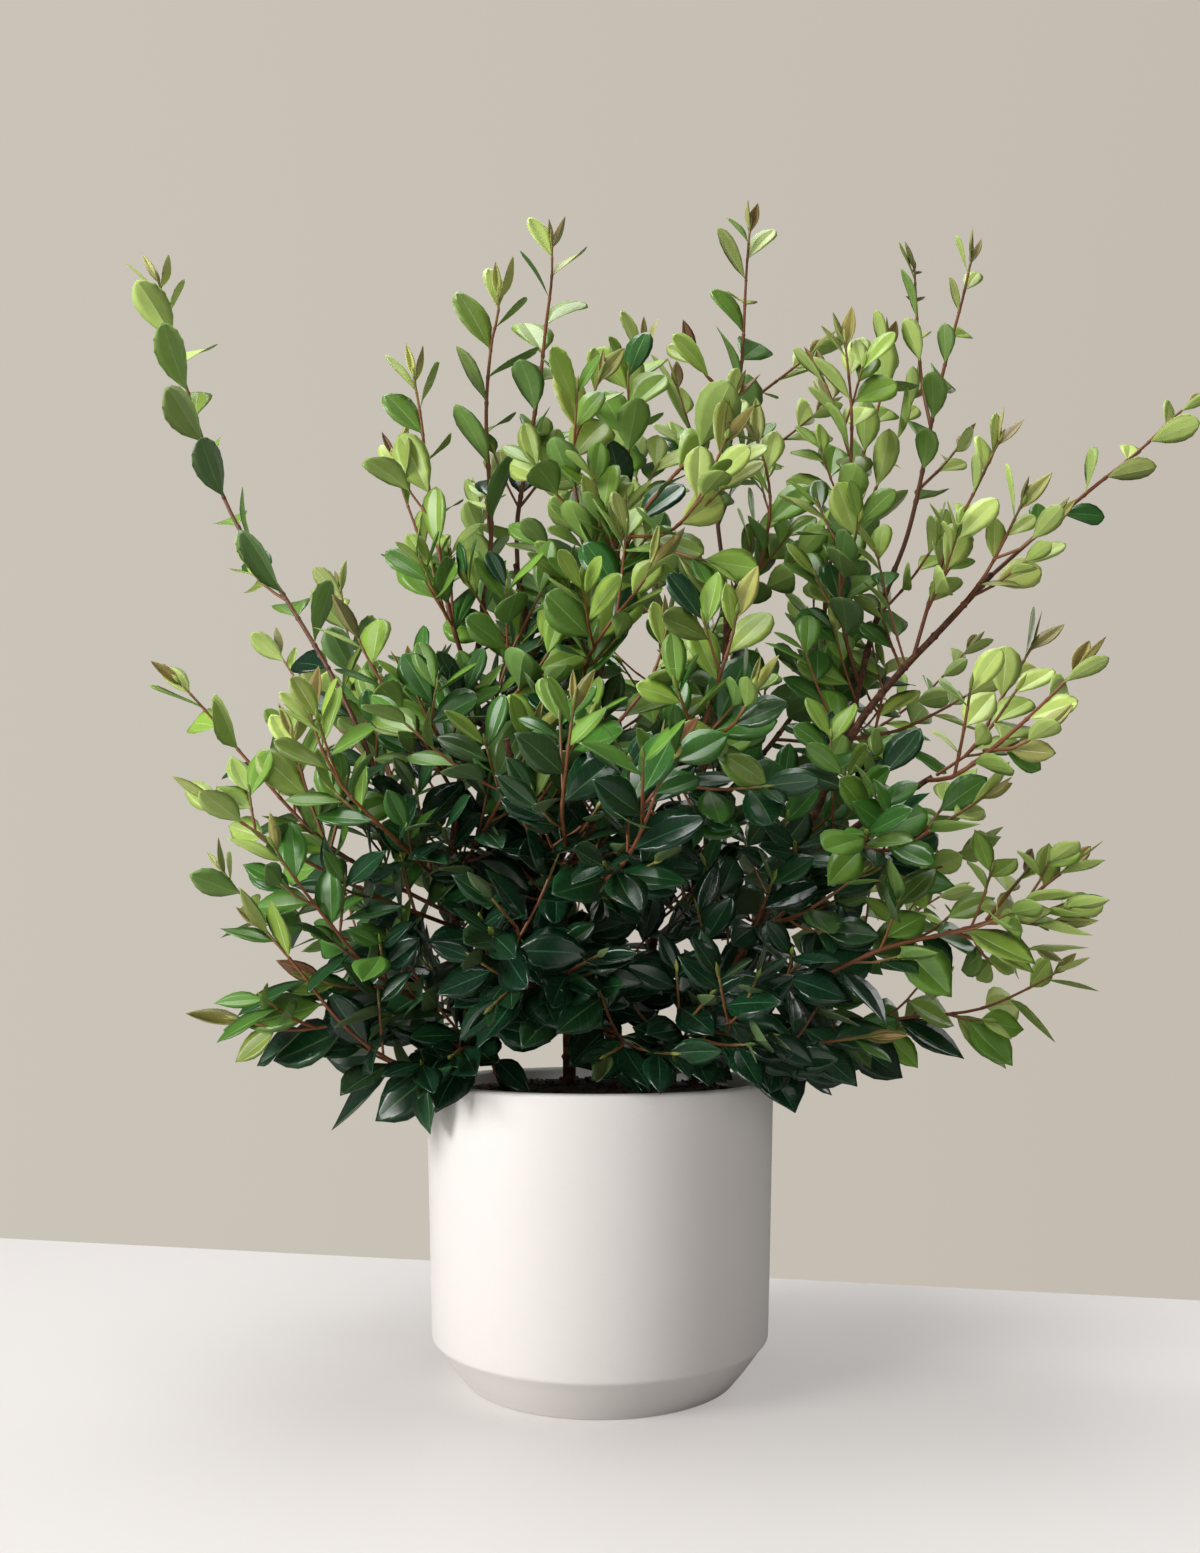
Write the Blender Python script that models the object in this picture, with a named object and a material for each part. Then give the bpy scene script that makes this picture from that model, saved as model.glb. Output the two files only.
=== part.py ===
"""A small-leaved camellia growing in a round white planter.

The planter, its soil, four woody trunks and the leafy stems that they carry are separate solids.
Everything is in metres, +Z up, with the origin at the centre of the planter's underside.
"""
import math
import random
from collections import namedtuple

import bmesh
import bpy
from mathutils import Matrix, Vector
from mathutils.bvhtree import BVHTree

MM = 0.001
UP = Vector((0, 0, 1))
SEAT_GAP = 0.3 * MM

# Planter
RIM_RADIUS = 140 * MM
RIM_HEIGHT = 238 * MM
RIM_ROUNDING = 3 * MM
WALL = 11.5 * MM
SHOULDER_RADIUS = 136 * MM
SHOULDER_HEIGHT = 36 * MM
FOOT_RADIUS = 111 * MM
FLOOR = 14 * MM
ROUND_SIDES = 32

# Soil
SOIL_EDGE = 226 * MM
SOIL_CROWN = 235 * MM
SOIL_ROUGHNESS = 1.2 * MM

# Stems: a smooth route is read at an even step, and a solid's route at a longer one
WOOD_STEP = 56 * MM
SPINE_STEP = 68 * MM
FINE_STEP = 12 * MM
# Sides of a trunk, of a leafy stem and of a twig
SIDES = (6, 4, 3)
SIDE_STEM_SHARE = 0.75
TIP_RADIUS = 0.9 * MM
MOST_TRIES = 8
RETRY_TWIST = 0.3

# Room that is kept round what is placed
CLEAR = 0.5 * MM
ROOM_SIDES = 5
ROOM_SHARE = 0.8

# Side twigs, which grow in the dense middle of the plant, on the leafy stems and on the trunks.
# A plan's lean is along the stem, away from it and up, and its room is the radius that is kept clear.
TwigPlan = namedtuple("TwigPlan", "rank spacing reach lowest lean radius room")
STEM_TWIGS = TwigPlan(2, 200 * MM, (34 * MM, 72 * MM), 0.0, (0.68, 0.64, 0.36), 1.3 * MM, 2.2 * MM)
TRUNK_TWIGS = TwigPlan(2, 104 * MM, (64 * MM, 100 * MM), 300 * MM, (0.34, 0.78, 0.42), 1.3 * MM, 2.2 * MM)
TWIG_UNEVENNESS = (0.8, 1.25)
TWIG_START = (0.20, 22 * MM)
TWIG_END = 38 * MM
TWIG_STEP = 14 * MM
TWIG_RISE = 0.12
TWIG_TURNS = (0, 40, -40, 80, -80, 150)
GOLDEN_TURN = math.radians(137.5)
CROWN_CENTRE = (0.02, 0.0, 0.46)
CROWN_REACH = (0.36, 0.34, 0.27)

# Leaves: a blade is (share of its length, share of its width on each side) with a keel under its midrib
BLADE_THICKNESS = 1.6 * MM
BLADE_STATIONS = ((0.10, 0.05), (0.42, 0.48), (0.78, 0.40))
BLADE_KEEL = 0.36
MATURE_LENGTH = 52 * MM
SPEAR_LENGTH = 27 * MM
MATURE_RATIO = 0.56
SPEAR_RATIO = 0.25

# Leaves stand at these distances from a tip in millimetres, then evenly, each half a turn from the last
TIP_OFFSETS = (0.5, 4, 13, 28, 47, 69)
NODE_SPACING = 23
NODE_UNEVENNESS = (0.88, 1.15)
BARE_FOOT = (18, 0.16)
BARE_TWIG_FOOT = 9
LEAF_TURN = math.pi
FIRST_TURN = 0.6
TURN_UNEVENNESS = 0.25
UPRIGHT_TURN_LESS = math.radians(12)
UPRIGHT = 0.80
LEAF_TURNS = (0, 30, -30, 60, -60, 100, -100)
SPEAR_SPREAD = math.radians(10)
MORE_SPREAD_LOW = math.radians(38)
MORE_SPREAD_HIGH = math.radians(22)
HIGH_FROM = 0.38
HIGH_RISE = 0.25
SPREAD_CURVE = 0.8
SPREAD_UNEVENNESS = 0.14
LOWEST_LEAF = 208 * MM
SPEAR_BEND = math.radians(8)
MORE_BEND = math.radians(26)
HANG_BELOW = 0.43
HANG_FADE = 0.15
HANG_OUTWARD = 0.45
HANG_DOWN = (0.2, 0.8)
FACE_MIDDLE = 0.14
FACE_SIDEWAYS = 0.5
FACE_UPWARD = 0.6
FACE_OUTWARD = (0.5, 1.2)
FACE_INWARD = 0.4
FACE_ROLL = 0.5
LENGTH_UNEVENNESS = (0.80, 1.14)
WIDTH_UNEVENNESS = (0.92, 1.08)
BEND_UNEVENNESS = (0.6, 1.3)
LENGTH_CURVE = 0.7
RATIO_CURVE = 0.6
SUNK_SHARE = 0.4
FULL_AGE = 5
TWIG_TIP_AGE = 2
TWIG_LEAF_SHARE = 0.88
LOW_LEAF_SHARE = 0.90
SOURCE_EVERY = 5

# Each trunk has its main stem first and then its limbs.
# A stem is (diameter at its foot, diameter at its end, points of its route), all in millimetres.
TRUNKS = (
    ("trunk_main", (
        (11.5, 5.4, ((-25, -5, 170), (-25, -5, 240), (-26, -5, 300), (-30, 0, 360), (-35, 10, 420),
                     (-38, 15, 470), (-46, 20, 520), (-54, 20, 570), (-62, 20, 620), (-70, 20, 665))),
        (6.6, 4.4, ((-30, 0, 360), (-40, -50, 390), (-50, -100, 425), (-60, -130, 455), (-65, -145, 485))),
        (6.8, 4.6, ((-33, 5, 400), (0, -55, 440), (30, -95, 460), (60, -120, 475), (80, -130, 490))),
        (6.6, 4.8, ((-38, 15, 470), (-15, 5, 520), (0, 0, 570), (10, 5, 620), (15, 10, 665))),
    )),
    ("trunk_left", (
        (9.5, 5.4, ((-70, 10, 170), (-78, 8, 230), (-98, 0, 285), (-114, -5, 345), (-120, -5, 390),
                    (-119, 0, 435), (-114, 5, 485), (-108, 10, 540), (-101, 12, 590), (-95, 15, 640))),
        (6.0, 4.4, ((-120, -5, 390), (-155, 60, 440), (-190, 110, 500), (-215, 140, 565))),
    )),
    ("trunk_right", (
        (9.5, 5.0, ((72, 5, 170), (76, 5, 230), (92, -5, 295), (125, -10, 360), (155, -5, 415),
                    (188, 0, 480), (213, 5, 530), (250, 10, 575), (290, 15, 617), (325, 15, 655))),
        (6.2, 4.9, ((200, 2, 505), (218, 30, 565), (238, 50, 630), (255, 55, 675))),
        (6.0, 4.2, ((142, -8, 390), (175, -60, 420), (208, -95, 445), (240, -110, 465))),
    )),
    ("trunk_back", (
        (8.5, 5.2, ((45, 60, 170), (45, 60, 230), (45, 61, 295), (47, 66, 365), (62, 80, 435),
                    (90, 90, 500), (108, 98, 570), (114, 98, 645), (110, 95, 695))),
        (5.8, 4.4, ((47, 66, 365), (15, 120, 430), (-25, 165, 500), (-55, 190, 575))),
        (5.8, 4.4, ((62, 80, 435), (130, 135, 505), (190, 165, 580), (225, 180, 650))),
        (5.4, 4.2, ((84, 90, 485), (75, 150, 555), (60, 185, 640), (55, 200, 715))),
    )),
)

# Each leafy stem is (name, trunk that carries it, diameter at its foot, routes).
# Its first route is the stem itself, and the others are side stems grown together with it.
STEMS = (
    ("far_left", "trunk_left", 4.4, (
        ((-120, -5, 400), (-165, -5, 445), (-185, -4, 495), (-215, 0, 560), (-255, 5, 627),
         (-305, 9, 705), (-338, 5, 800), (-360, 0, 888)),)),
    ("left_high", "trunk_left", 3.6, (
        ((-120, -5, 370), (-175, -15, 400), (-225, -25, 433), (-277, -30, 490), (-310, -35, 530),
         (-330, -38, 552)),)),
    ("left_mid", "trunk_left", 3.4, (
        ((-119, -5, 360), (-170, -60, 382), (-225, -85, 410), (-265, -95, 435), (-285, -100, 450)),
        ((-195, -72, 395), (-210, -72, 430), (-221, -75, 462), (-230, -80, 500)))),
    ("left_rear", "trunk_left", 3.2, (
        ((-114, -5, 345), (-195, 40, 350), (-275, 60, 370), (-315, 68, 395), (-331, 70, 415)),)),
    ("left_front", "trunk_left", 3.6, (
        ((-98, 0, 285), (-135, -50, 300), (-168, -95, 325), (-195, -115, 360), (-220, -125, 395),
         (-230, -130, 412)),
        ((-155, -77, 314), (-182, -97, 312), (-203, -108, 318)))),
    ("left_low", "trunk_left", 3.4, (
        ((-88, 4, 258), (-130, -60, 248), (-160, -92, 262), (-190, -108, 290), (-216, -114, 325),
         (-240, -120, 355)),
        ((-185, -106, 284), (-225, -112, 282), (-260, -112, 290)))),
    ("left_inner", "trunk_left", 3.0, (
        ((-113, 5, 490), (-125, -30, 505), (-136, -50, 527), (-145, -58, 548)),)),
    ("left_top", "trunk_left", 3.8, (
        ((-106, 10, 560), (-120, -15, 610), (-130, -20, 670), (-137, -24, 715), (-142, -25, 762),
         (-148, -25, 798)),
        ((-113, -6, 585), (-138, 20, 645), (-152, 33, 690), (-168, 39, 735), (-176, 41, 765)))),
    ("left_bright", "trunk_left", 3.4, (
        ((-120, -5, 388), (-135, -50, 405), (-165, -88, 435), (-186, -104, 457), (-201, -109, 485),
         (-210, -110, 512)),)),
    ("left_crest", "trunk_left", 3.2, (
        ((-116, 4, 465), (-135, -45, 500), (-160, -60, 535), (-178, -64, 565), (-185, -66, 582)),)),
    ("crown_left", "trunk_left", 4.0, (
        ((-96, 14, 632), (-90, 14, 690), (-94, 11, 780), (-90, 10, 840), (-84, 10, 868), (-84, 10, 884)),)),
    ("crown_main", "trunk_main", 4.0, (
        ((-69, 20, 657), (-69, 20, 700), (-62, 20, 745), (-50, 16, 815), (-45, 15, 860), (-40, 15, 900),
         (-40, 15, 930)),)),
    ("crown_mid", "trunk_main", 3.2, (
        ((5, 1, 595), (-5, -25, 655), (-18, -35, 695), (-21, -40, 735), (-9, -40, 765), (0, -42, 790)),)),
    ("crown_centre", "trunk_main", 3.6, (
        ((14, 9, 658), (17, 11, 700), (24, 14, 760), (32, 15, 810), (36, 15, 845)),)),
    ("crown_tall", "trunk_back", 3.9, (
        ((111, 96, 687), (105, 91, 750), (120, 90, 815), (127, 90, 875), (130, 90, 935), (132, 90, 968),
         (134, 90, 990)),
        ((105, 91, 745), (86, 75, 785), (73, 70, 820), (67, 68, 840)),
        ((124, 90, 832), (106, 80, 842), (92, 75, 853), (80, 71, 870)),
        ((123, 90, 826), (150, 100, 852), (180, 105, 877), (194, 109, 890)),
        ((106, 93, 728), (132, 118, 790), (170, 130, 820), (205, 135, 850)))),
    ("crown_fork", "trunk_main", 3.4, (
        ((11, 5, 625), (25, -52, 665), (50, -74, 692), (72, -82, 712), (90, -85, 733), (101, -86, 752)),
        ((24, -48, 662), (48, -90, 648), (66, -108, 658), (80, -117, 682), (90, -120, 705)))),
    ("crown_right", "trunk_back", 3.2, (
        ((113, 98, 625), (138, 62, 675), (145, 42, 720), (140, 31, 750), (131, 25, 772)),)),
    ("right_mast", "trunk_right", 3.6, (
        ((219, 30, 565), (198, 2, 615), (195, -14, 670), (200, -20, 725), (201, -20, 775),
         (196, -20, 828)),
        ((200, -20, 738), (190, -10, 780), (179, -5, 812)))),
    ("right_pair", "trunk_right", 3.8, (
        ((194, 1, 490), (200, 58, 570), (198, 74, 655), (214, 70, 730), (229, 66, 775), (243, 62, 820),
         (250, 60, 870)),
        ((199, 74, 668), (234, 89, 730), (256, 95, 780), (273, 95, 820), (283, 95, 845)))),
    ("right_top", "trunk_right", 4.0, (
        ((254, 55, 668), (264, 50, 700), (274, 45, 745), (284, 42, 800), (296, 40, 852), (308, 40, 896),
         (316, 40, 932)),
        ((283, 42, 790), (279, 60, 840), (278, 70, 895), (277, 75, 945)),
        ((273, 46, 738), (303, 73, 772), (320, 84, 795)))),
    ("right_tip", "trunk_right", 3.4, (
        ((258, 11, 584), (272, -5, 640), (286, -9, 680), (305, -12, 718), (321, -14, 752)),)),
    ("far_right", "trunk_right", 3.8, (
        ((322, 15, 651), (365, 15, 690), (407, 12, 725), (446, 8, 756), (468, 5, 778), (486, 3, 792)),)),
    ("right_spur", "trunk_right", 3.2, (
        ((293, 15, 620), (305, -22, 638), (316, -33, 660), (331, -38, 692)),
        ((312, -29, 652), (329, -46, 655), (342, -55, 667)))),
    ("right_mid", "trunk_right", 3.4, (
        ((236, -109, 463), (250, -132, 462), (277, -149, 483), (306, -156, 510), (325, -158, 530)),
        ((241, -117, 461), (269, -112, 485), (285, -108, 512), (302, -105, 540), (315, -104, 562)),
        ((266, -143, 474), (283, -162, 476), (297, -171, 487)))),
    ("right_fan", "trunk_right", 3.2, (
        ((207, 5, 515), (253, 34, 530), (293, 45, 550), (323, 50, 568)),)),
    ("right_reach", "trunk_right", 3.2, (
        ((180, -65, 424), (210, -107, 412), (231, -119, 422), (256, -125, 437), (273, -128, 449)),)),
    ("right_rear", "trunk_right", 3.2, (
        ((153, -5, 410), (210, 30, 400), (261, 45, 405), (291, 50, 419), (321, 52, 434)),)),
    ("right_long", "trunk_right", 4.0, (
        ((94, -5, 300), (130, -68, 310), (162, -98, 321), (205, -114, 341), (254, -120, 353),
         (286, -122, 364), (323, -122, 390), (337, -122, 402)),
        ((276, -121, 360), (297, -106, 382), (314, -98, 400)),
        ((283, -122, 363), (304, -137, 357), (317, -142, 358)),
        ((250, -119, 352), (292, -105, 342), (323, -100, 341)))),
    ("right_low", "trunk_right", 3.6, (
        ((86, 0, 270), (158, 20, 266), (245, 30, 285), (315, 30, 293), (359, 28, 311), (384, 26, 326)),)),
    ("right_hang", "trunk_right", 3.2, (
        ((80, 2, 250), (122, -60, 262), (162, -94, 272), (195, -110, 277)),)),
    ("right_inner", "trunk_right", 3.2, (
        ((126, -10, 360), (152, -60, 368), (176, -84, 384), (191, -95, 396)),)),
    ("front_left", "trunk_left", 3.2, (
        ((-120, -5, 400), (-93, -60, 425), (-69, -100, 456), (-56, -115, 473), (-47, -122, 495)),)),
    ("front_cross", "trunk_left", 3.4, (
        ((-112, 5, 508), (-87, -43, 520), (-61, -70, 538), (-42, -80, 557), (-34, -84, 572)),
        ((-89, -40, 519), (-71, -46, 568), (-53, -50, 604), (-41, -52, 626)))),
    ("front_mid", "trunk_main", 3.2, (
        ((-43, -65, 400), (-25, -118, 409), (-26, -158, 431), (-22, -184, 461), (-17, -200, 495)),)),
    ("front_centre", "trunk_main", 3.4, (
        ((-37, 12, 450), (-8, -98, 475), (13, -128, 500), (33, -140, 523), (42, -145, 544),
         (46, -147, 560)),)),
    ("front_right", "trunk_main", 3.4, (
        ((62, -121, 478), (72, -150, 495), (81, -165, 524), (88, -172, 546), (91, -175, 563)),
        ((68, -138, 488), (81, -180, 482), (91, -200, 489), (97, -208, 504)))),
    ("front_bow", "trunk_main", 3.4, (
        ((-31, 1, 385), (-2, -98, 388), (16, -168, 397), (28, -203, 417), (37, -215, 441),
         (40, -218, 456)),)),
    ("front_rise", "trunk_main", 3.2, (
        ((-6, 1, 550), (-12, -58, 557), (5, -90, 579), (29, -104, 604), (37, -108, 620)),)),
    ("front_thin", "trunk_main", 3.0, (
        ((-1, 0, 572), (2, -30, 609), (11, -45, 640), (20, -50, 670)),)),
    ("front_nook", "trunk_left", 3.0, (
        ((-114, -5, 345), (-76, -80, 330), (-57, -130, 350), (-67, -150, 365), (-76, -158, 377)),)),
    ("low_mid", "trunk_main", 3.4, (
        ((-26, -5, 315), (-35, -70, 315), (-19, -120, 326), (-1, -150, 335)),
        ((-34, -65, 315), (-48, -110, 314), (-62, -145, 311), (-73, -165, 300)))),
    ("low_front", "trunk_main", 3.0, (
        ((-25, -5, 280), (7, -60, 280), (17, -105, 272), (4, -135, 265)),)),
    ("low_right", "trunk_right", 3.2, (
        ((79, 4, 250), (55, -60, 269), (65, -105, 289), (79, -125, 308)),
        ((57, -70, 272), (90, -125, 286), (101, -150, 304), (107, -158, 320)))),
    ("low_left", "trunk_left", 3.0, (
        ((-86, 5, 255), (-93, -60, 266), (-100, -100, 268), (-105, -130, 264)),)),
    ("back_crown", "trunk_back", 3.6, (
        ((60, 185, 640), (50, 230, 745), (40, 260, 830), (30, 275, 885)),
        ((56, 200, 672), (10, 235, 735), (-25, 255, 805), (-45, 260, 860)))),
    ("back_left_top", "trunk_back", 3.4, (
        ((-25, 165, 500), (-60, 230, 585), (-95, 270, 675), (-120, 290, 765), (-130, 300, 835)),)),
    ("back_left", "trunk_back", 3.4, (
        ((0, 142, 460), (-80, 210, 500), (-165, 250, 545), (-230, 270, 600)),)),
    ("back_right_top", "trunk_back", 3.4, (
        ((190, 165, 580), (230, 220, 660), (255, 250, 740), (270, 265, 820)),)),
    ("back_right", "trunk_back", 3.4, (
        ((165, 152, 548), (250, 220, 560), (330, 260, 610), (390, 280, 670)),)),
    ("back_low_right", "trunk_back", 3.4, (
        ((47, 66, 355), (95, 150, 395), (160, 220, 430), (240, 270, 475)),)),
    ("back_low_left", "trunk_back", 3.4, (
        ((45, 62, 320), (0, 150, 355), (-60, 220, 400), (-125, 270, 445)),)),
    ("back_wing", "trunk_left", 3.4, (
        ((-185, 102, 490), (-235, 150, 545), (-280, 175, 590), (-315, 190, 640)),
        ((-200, 118, 512), (-230, 165, 585), (-245, 185, 650), (-255, 195, 705)))),
    ("back_low", "trunk_right", 3.4, (
        ((100, -6, 312), (180, 90, 335), (265, 150, 365), (340, 190, 405)),)),
    ("back_foot", "trunk_left", 3.2, (
        ((-88, 4, 260), (-135, 90, 275), (-190, 150, 300), (-245, 180, 350)),)),
)

Axis = namedtuple("Axis", "node label path spine start end rank")
Leaf = namedtuple("Leaf", "node root heading face length width bend")


def smooth_path(points, step):
    """Read a smooth curve through the points at an even step."""
    points = [Vector(p) for p in points]
    ends = [points[0] * 2 - points[1]] + points + [points[-1] * 2 - points[-2]]
    dense = [points[0]]
    parts = 12
    for a, b, c, d in zip(ends, ends[1:], ends[2:], ends[3:]):
        for i in range(1, parts + 1):
            t = i / parts
            dense.append(0.5 * (2 * b + (c - a) * t + (2 * a - 5 * b + 4 * c - d) * t ** 2
                                + (3 * b - a - 3 * c + d) * t ** 3))
    lengths = [0.0]
    for a, b in zip(dense, dense[1:]):
        lengths.append(lengths[-1] + (b - a).length)
    count = max(2, round(lengths[-1] / step))
    path = [dense[0]]
    spot = 0
    for i in range(1, count):
        want = lengths[-1] * i / count
        while lengths[spot + 1] < want:
            spot += 1
        share = (want - lengths[spot]) / (lengths[spot + 1] - lengths[spot])
        path.append(dense[spot].lerp(dense[spot + 1], share))
    path.append(dense[-1])
    return path


def path_length(path):
    return sum((b - a).length for a, b in zip(path, path[1:]))


def point_at(path, distance):
    """Return the point and the direction at a distance along a path."""
    for a, b in zip(path, path[1:]):
        span = (b - a).length
        if distance <= span:
            return a.lerp(b, distance / span), (b - a).normalized()
        distance -= span
    return path[-1].copy(), (path[-1] - path[-2]).normalized()


def nearest_on(path, point):
    """Return the nearest point of a path and its share of the way along it."""
    best = None
    travelled = 0.0
    total = path_length(path)
    for a, b in zip(path, path[1:]):
        span = b - a
        share = min(1.0, max(0.0, (point - a).dot(span) / span.length_squared))
        spot = a + span * share
        far = (point - spot).length
        if best is None or far < best[0]:
            best = (far, spot, (travelled + span.length * share) / total)
        travelled += span.length
    return best[1], best[2]


def tube(path, start, end, sides, twist=0.0):
    """Make a closed tube along a path, tapering from one radius to the other."""
    verts = []
    faces = []
    side = (path[1] - path[0]).normalized().orthogonal().normalized()
    last = len(path) - 1
    for i, point in enumerate(path):
        along = (path[min(i + 1, last)] - path[max(i - 1, 0)]).normalized()
        side = (side - along * side.dot(along)).normalized()
        other = along.cross(side)
        radius = start + (end - start) * i / last
        for k in range(sides):
            turn = math.tau * k / sides + twist
            verts.append(point + (side * math.cos(turn) + other * math.sin(turn)) * radius)
    for i in range(last):
        for k in range(sides):
            a = i * sides + k
            b = i * sides + (k + 1) % sides
            faces.append((a, b, b + sides, a + sides))
    faces.append(tuple(reversed(range(sides))))
    faces.append(tuple(range(last * sides, last * sides + sides)))
    return verts, faces


def on_leaf(leaf, u, across, lift=0.0):
    """Place a point of a leaf: u along the midrib, across it in metres, lifted off its upper side."""
    bend = leaf.bend
    side = leaf.face.cross(leaf.heading)
    along = leaf.heading * (math.sin(bend * u) / bend)
    down = leaf.face * ((1 - math.cos(bend * u)) / bend)
    normal = leaf.face * math.cos(bend * u) + leaf.heading * math.sin(bend * u)
    return leaf.root + (along - down) * leaf.length + side * across + normal * lift


def blade(leaf, extra=0.0):
    """Make a leaf as a closed arched blade with a keel under its midrib."""
    left = [(u, share * leaf.width + extra) for u, share in BLADE_STATIONS]
    rim = [(0.0, 0.0)] + [(u, -w) for u, w in left] + [(1.0, 0.0)] + left[::-1]
    verts = [on_leaf(leaf, u, across, extra) for u, across in rim]
    verts.append(on_leaf(leaf, BLADE_KEEL, 0.0, -BLADE_THICKNESS - extra))
    count = len(rim)
    half = count // 2
    faces = [((i + 1) % count, i, count) for i in range(count)]
    faces.append((0, 1, count - 1))
    for i in range(1, half - 1):
        faces.append((i, i + 1, count - i))
        faces.append((i + 1, count - i - 1, count - i))
    faces.append((half - 1, half, half + 1))
    return verts, faces


class Room:
    """Keeps what is already placed, and tells whether something new would cross it."""

    def __init__(self):
        self.items = []

    @staticmethod
    def describe(verts, faces):
        centre = sum(verts, Vector()) / len(verts)
        reach = max((v - centre).length for v in verts)
        return centre, reach, BVHTree.FromPolygons(verts, faces)

    def add(self, node, kind, verts, faces):
        self.items.append((node, kind) + self.describe(verts, faces))

    def crosses(self, node, verts, faces, own_kinds):
        """Compare with every other node, and with the node's own items of the given kinds."""
        centre, reach, tree = self.describe(verts, faces)
        for other, kind, spot, size, there in self.items:
            if other == node and kind not in own_kinds:
                continue
            if (spot - centre).length < reach + size and tree.overlap(there):
                return True
        return False


def in_crown(point):
    """Tell whether a point lies in the dense middle of the plant, where stems branch."""
    parts = zip(point, CROWN_CENTRE, CROWN_REACH)
    return sum(((value - centre) / reach) ** 2 for value, centre, reach in parts) < 1


def around_stem(along, turn):
    """Return the direction that leaves a stem at a turn about it."""
    reference = UP if abs(along.z) < UPRIGHT else Vector((0, 1, 0))
    side = along.cross(reference).normalized()
    return side * math.cos(turn) + side.cross(along) * math.sin(turn)


def wood_axes():
    """Trunks and limbs, smooth, each starting on the stem that bears it."""
    axes = []
    for trunk, routes in TRUNKS:
        paths = []
        for number, (start, end, route) in enumerate(routes):
            points = [Vector(p) * MM for p in route]
            if number:
                points[0] = nearest_on(paths[0], points[0])[0]
            path = smooth_path(points, WOOD_STEP)
            paths.append(path)
            axes.append(Axis(trunk, "%s_%d" % (trunk, number), path, path, start * MM / 2, end * MM / 2, 0))
    return axes


def stem_axes(wood):
    """Leafy stems and their side stems, each starting on the axis that bears it."""
    axes = []
    for name, trunk, diameter, routes in STEMS:
        radius = diameter * MM / 2
        main = None
        for number, route in enumerate(routes):
            points = [Vector(p) * MM for p in route]
            if number:
                points[0] = nearest_on(main, points[0])[0]
                start = radius * SIDE_STEM_SHARE
            else:
                bearers = [nearest_on(axis.path, points[0])[0] for axis in wood if axis.node == trunk]
                points[0] = min(bearers, key=lambda spot: (spot - points[0]).length)
                start = radius
            spine = smooth_path(points, SPINE_STEP)
            main = main or spine
            path = smooth_path(points, FINE_STEP)
            axes.append(Axis(name, "%s_%d" % (name, number), path, spine, start, TIP_RADIUS, 1))
    return axes


def twig_axes(bearers, room, plan):
    """Short side twigs in the dense part of the crown, turned aside or left out where they would cross."""
    twigs = []
    for axis in bearers:
        rng = random.Random("%s twigs %d" % (axis.label, plan.rank))
        length = path_length(axis.path)
        distance = max(TWIG_START[0] * length, TWIG_START[1])
        turn = rng.uniform(0, math.tau)
        number = 0
        while distance < length - TWIG_END:
            point, along = point_at(axis.path, distance)
            distance += plan.spacing * rng.uniform(*TWIG_UNEVENNESS)
            turn += GOLDEN_TURN
            reach = rng.uniform(*plan.reach)
            number += 1
            if point.z < plan.lowest or not in_crown(point):
                continue
            for aside in TWIG_TURNS:
                out = around_stem(along, turn + math.radians(aside))
                heading = (along * plan.lean[0] + out * plan.lean[1] + UP * plan.lean[2]).normalized()
                middle = point + heading * reach * 0.5
                tip = point + (heading + UP * TWIG_RISE).normalized() * reach
                path = smooth_path([point, middle, tip], TWIG_STEP)
                foot = nearest_on(axis.spine, point)[0]
                if not room.crosses(axis.node, *tube([foot, tip], plan.room, plan.room, 4), ()):
                    label = "%s_twig%d_%d" % (axis.label, plan.rank, number)
                    spine = [foot, tip]
                    twigs.append(Axis(axis.node, label, path, spine, plan.radius, TIP_RADIUS, plan.rank))
                    room.add(axis.node, "stem", *tube([foot, tip], plan.radius, plan.radius, 4))
                    break
    return twigs


def leaf_spots(axis):
    """Distances from a stem's tip at which it bears a leaf, with the leaf's age from 0 to 1."""
    length = path_length(axis.path) / MM
    bare = max(BARE_FOOT[0], BARE_FOOT[1] * length) if axis.rank == 1 else BARE_TWIG_FOOT
    older = TWIG_TIP_AGE if axis.rank > 1 else 0
    rng = random.Random(axis.label + " spots")
    spots = []
    distance = 0.0
    number = 0
    while True:
        if number < len(TIP_OFFSETS):
            distance = TIP_OFFSETS[number]
        else:
            distance += NODE_SPACING * rng.uniform(*NODE_UNEVENNESS)
        if distance > length - bare:
            break
        spots.append((number, distance * MM, min(1.0, (number + older) / FULL_AGE)))
        number += 1
    return spots


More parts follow.
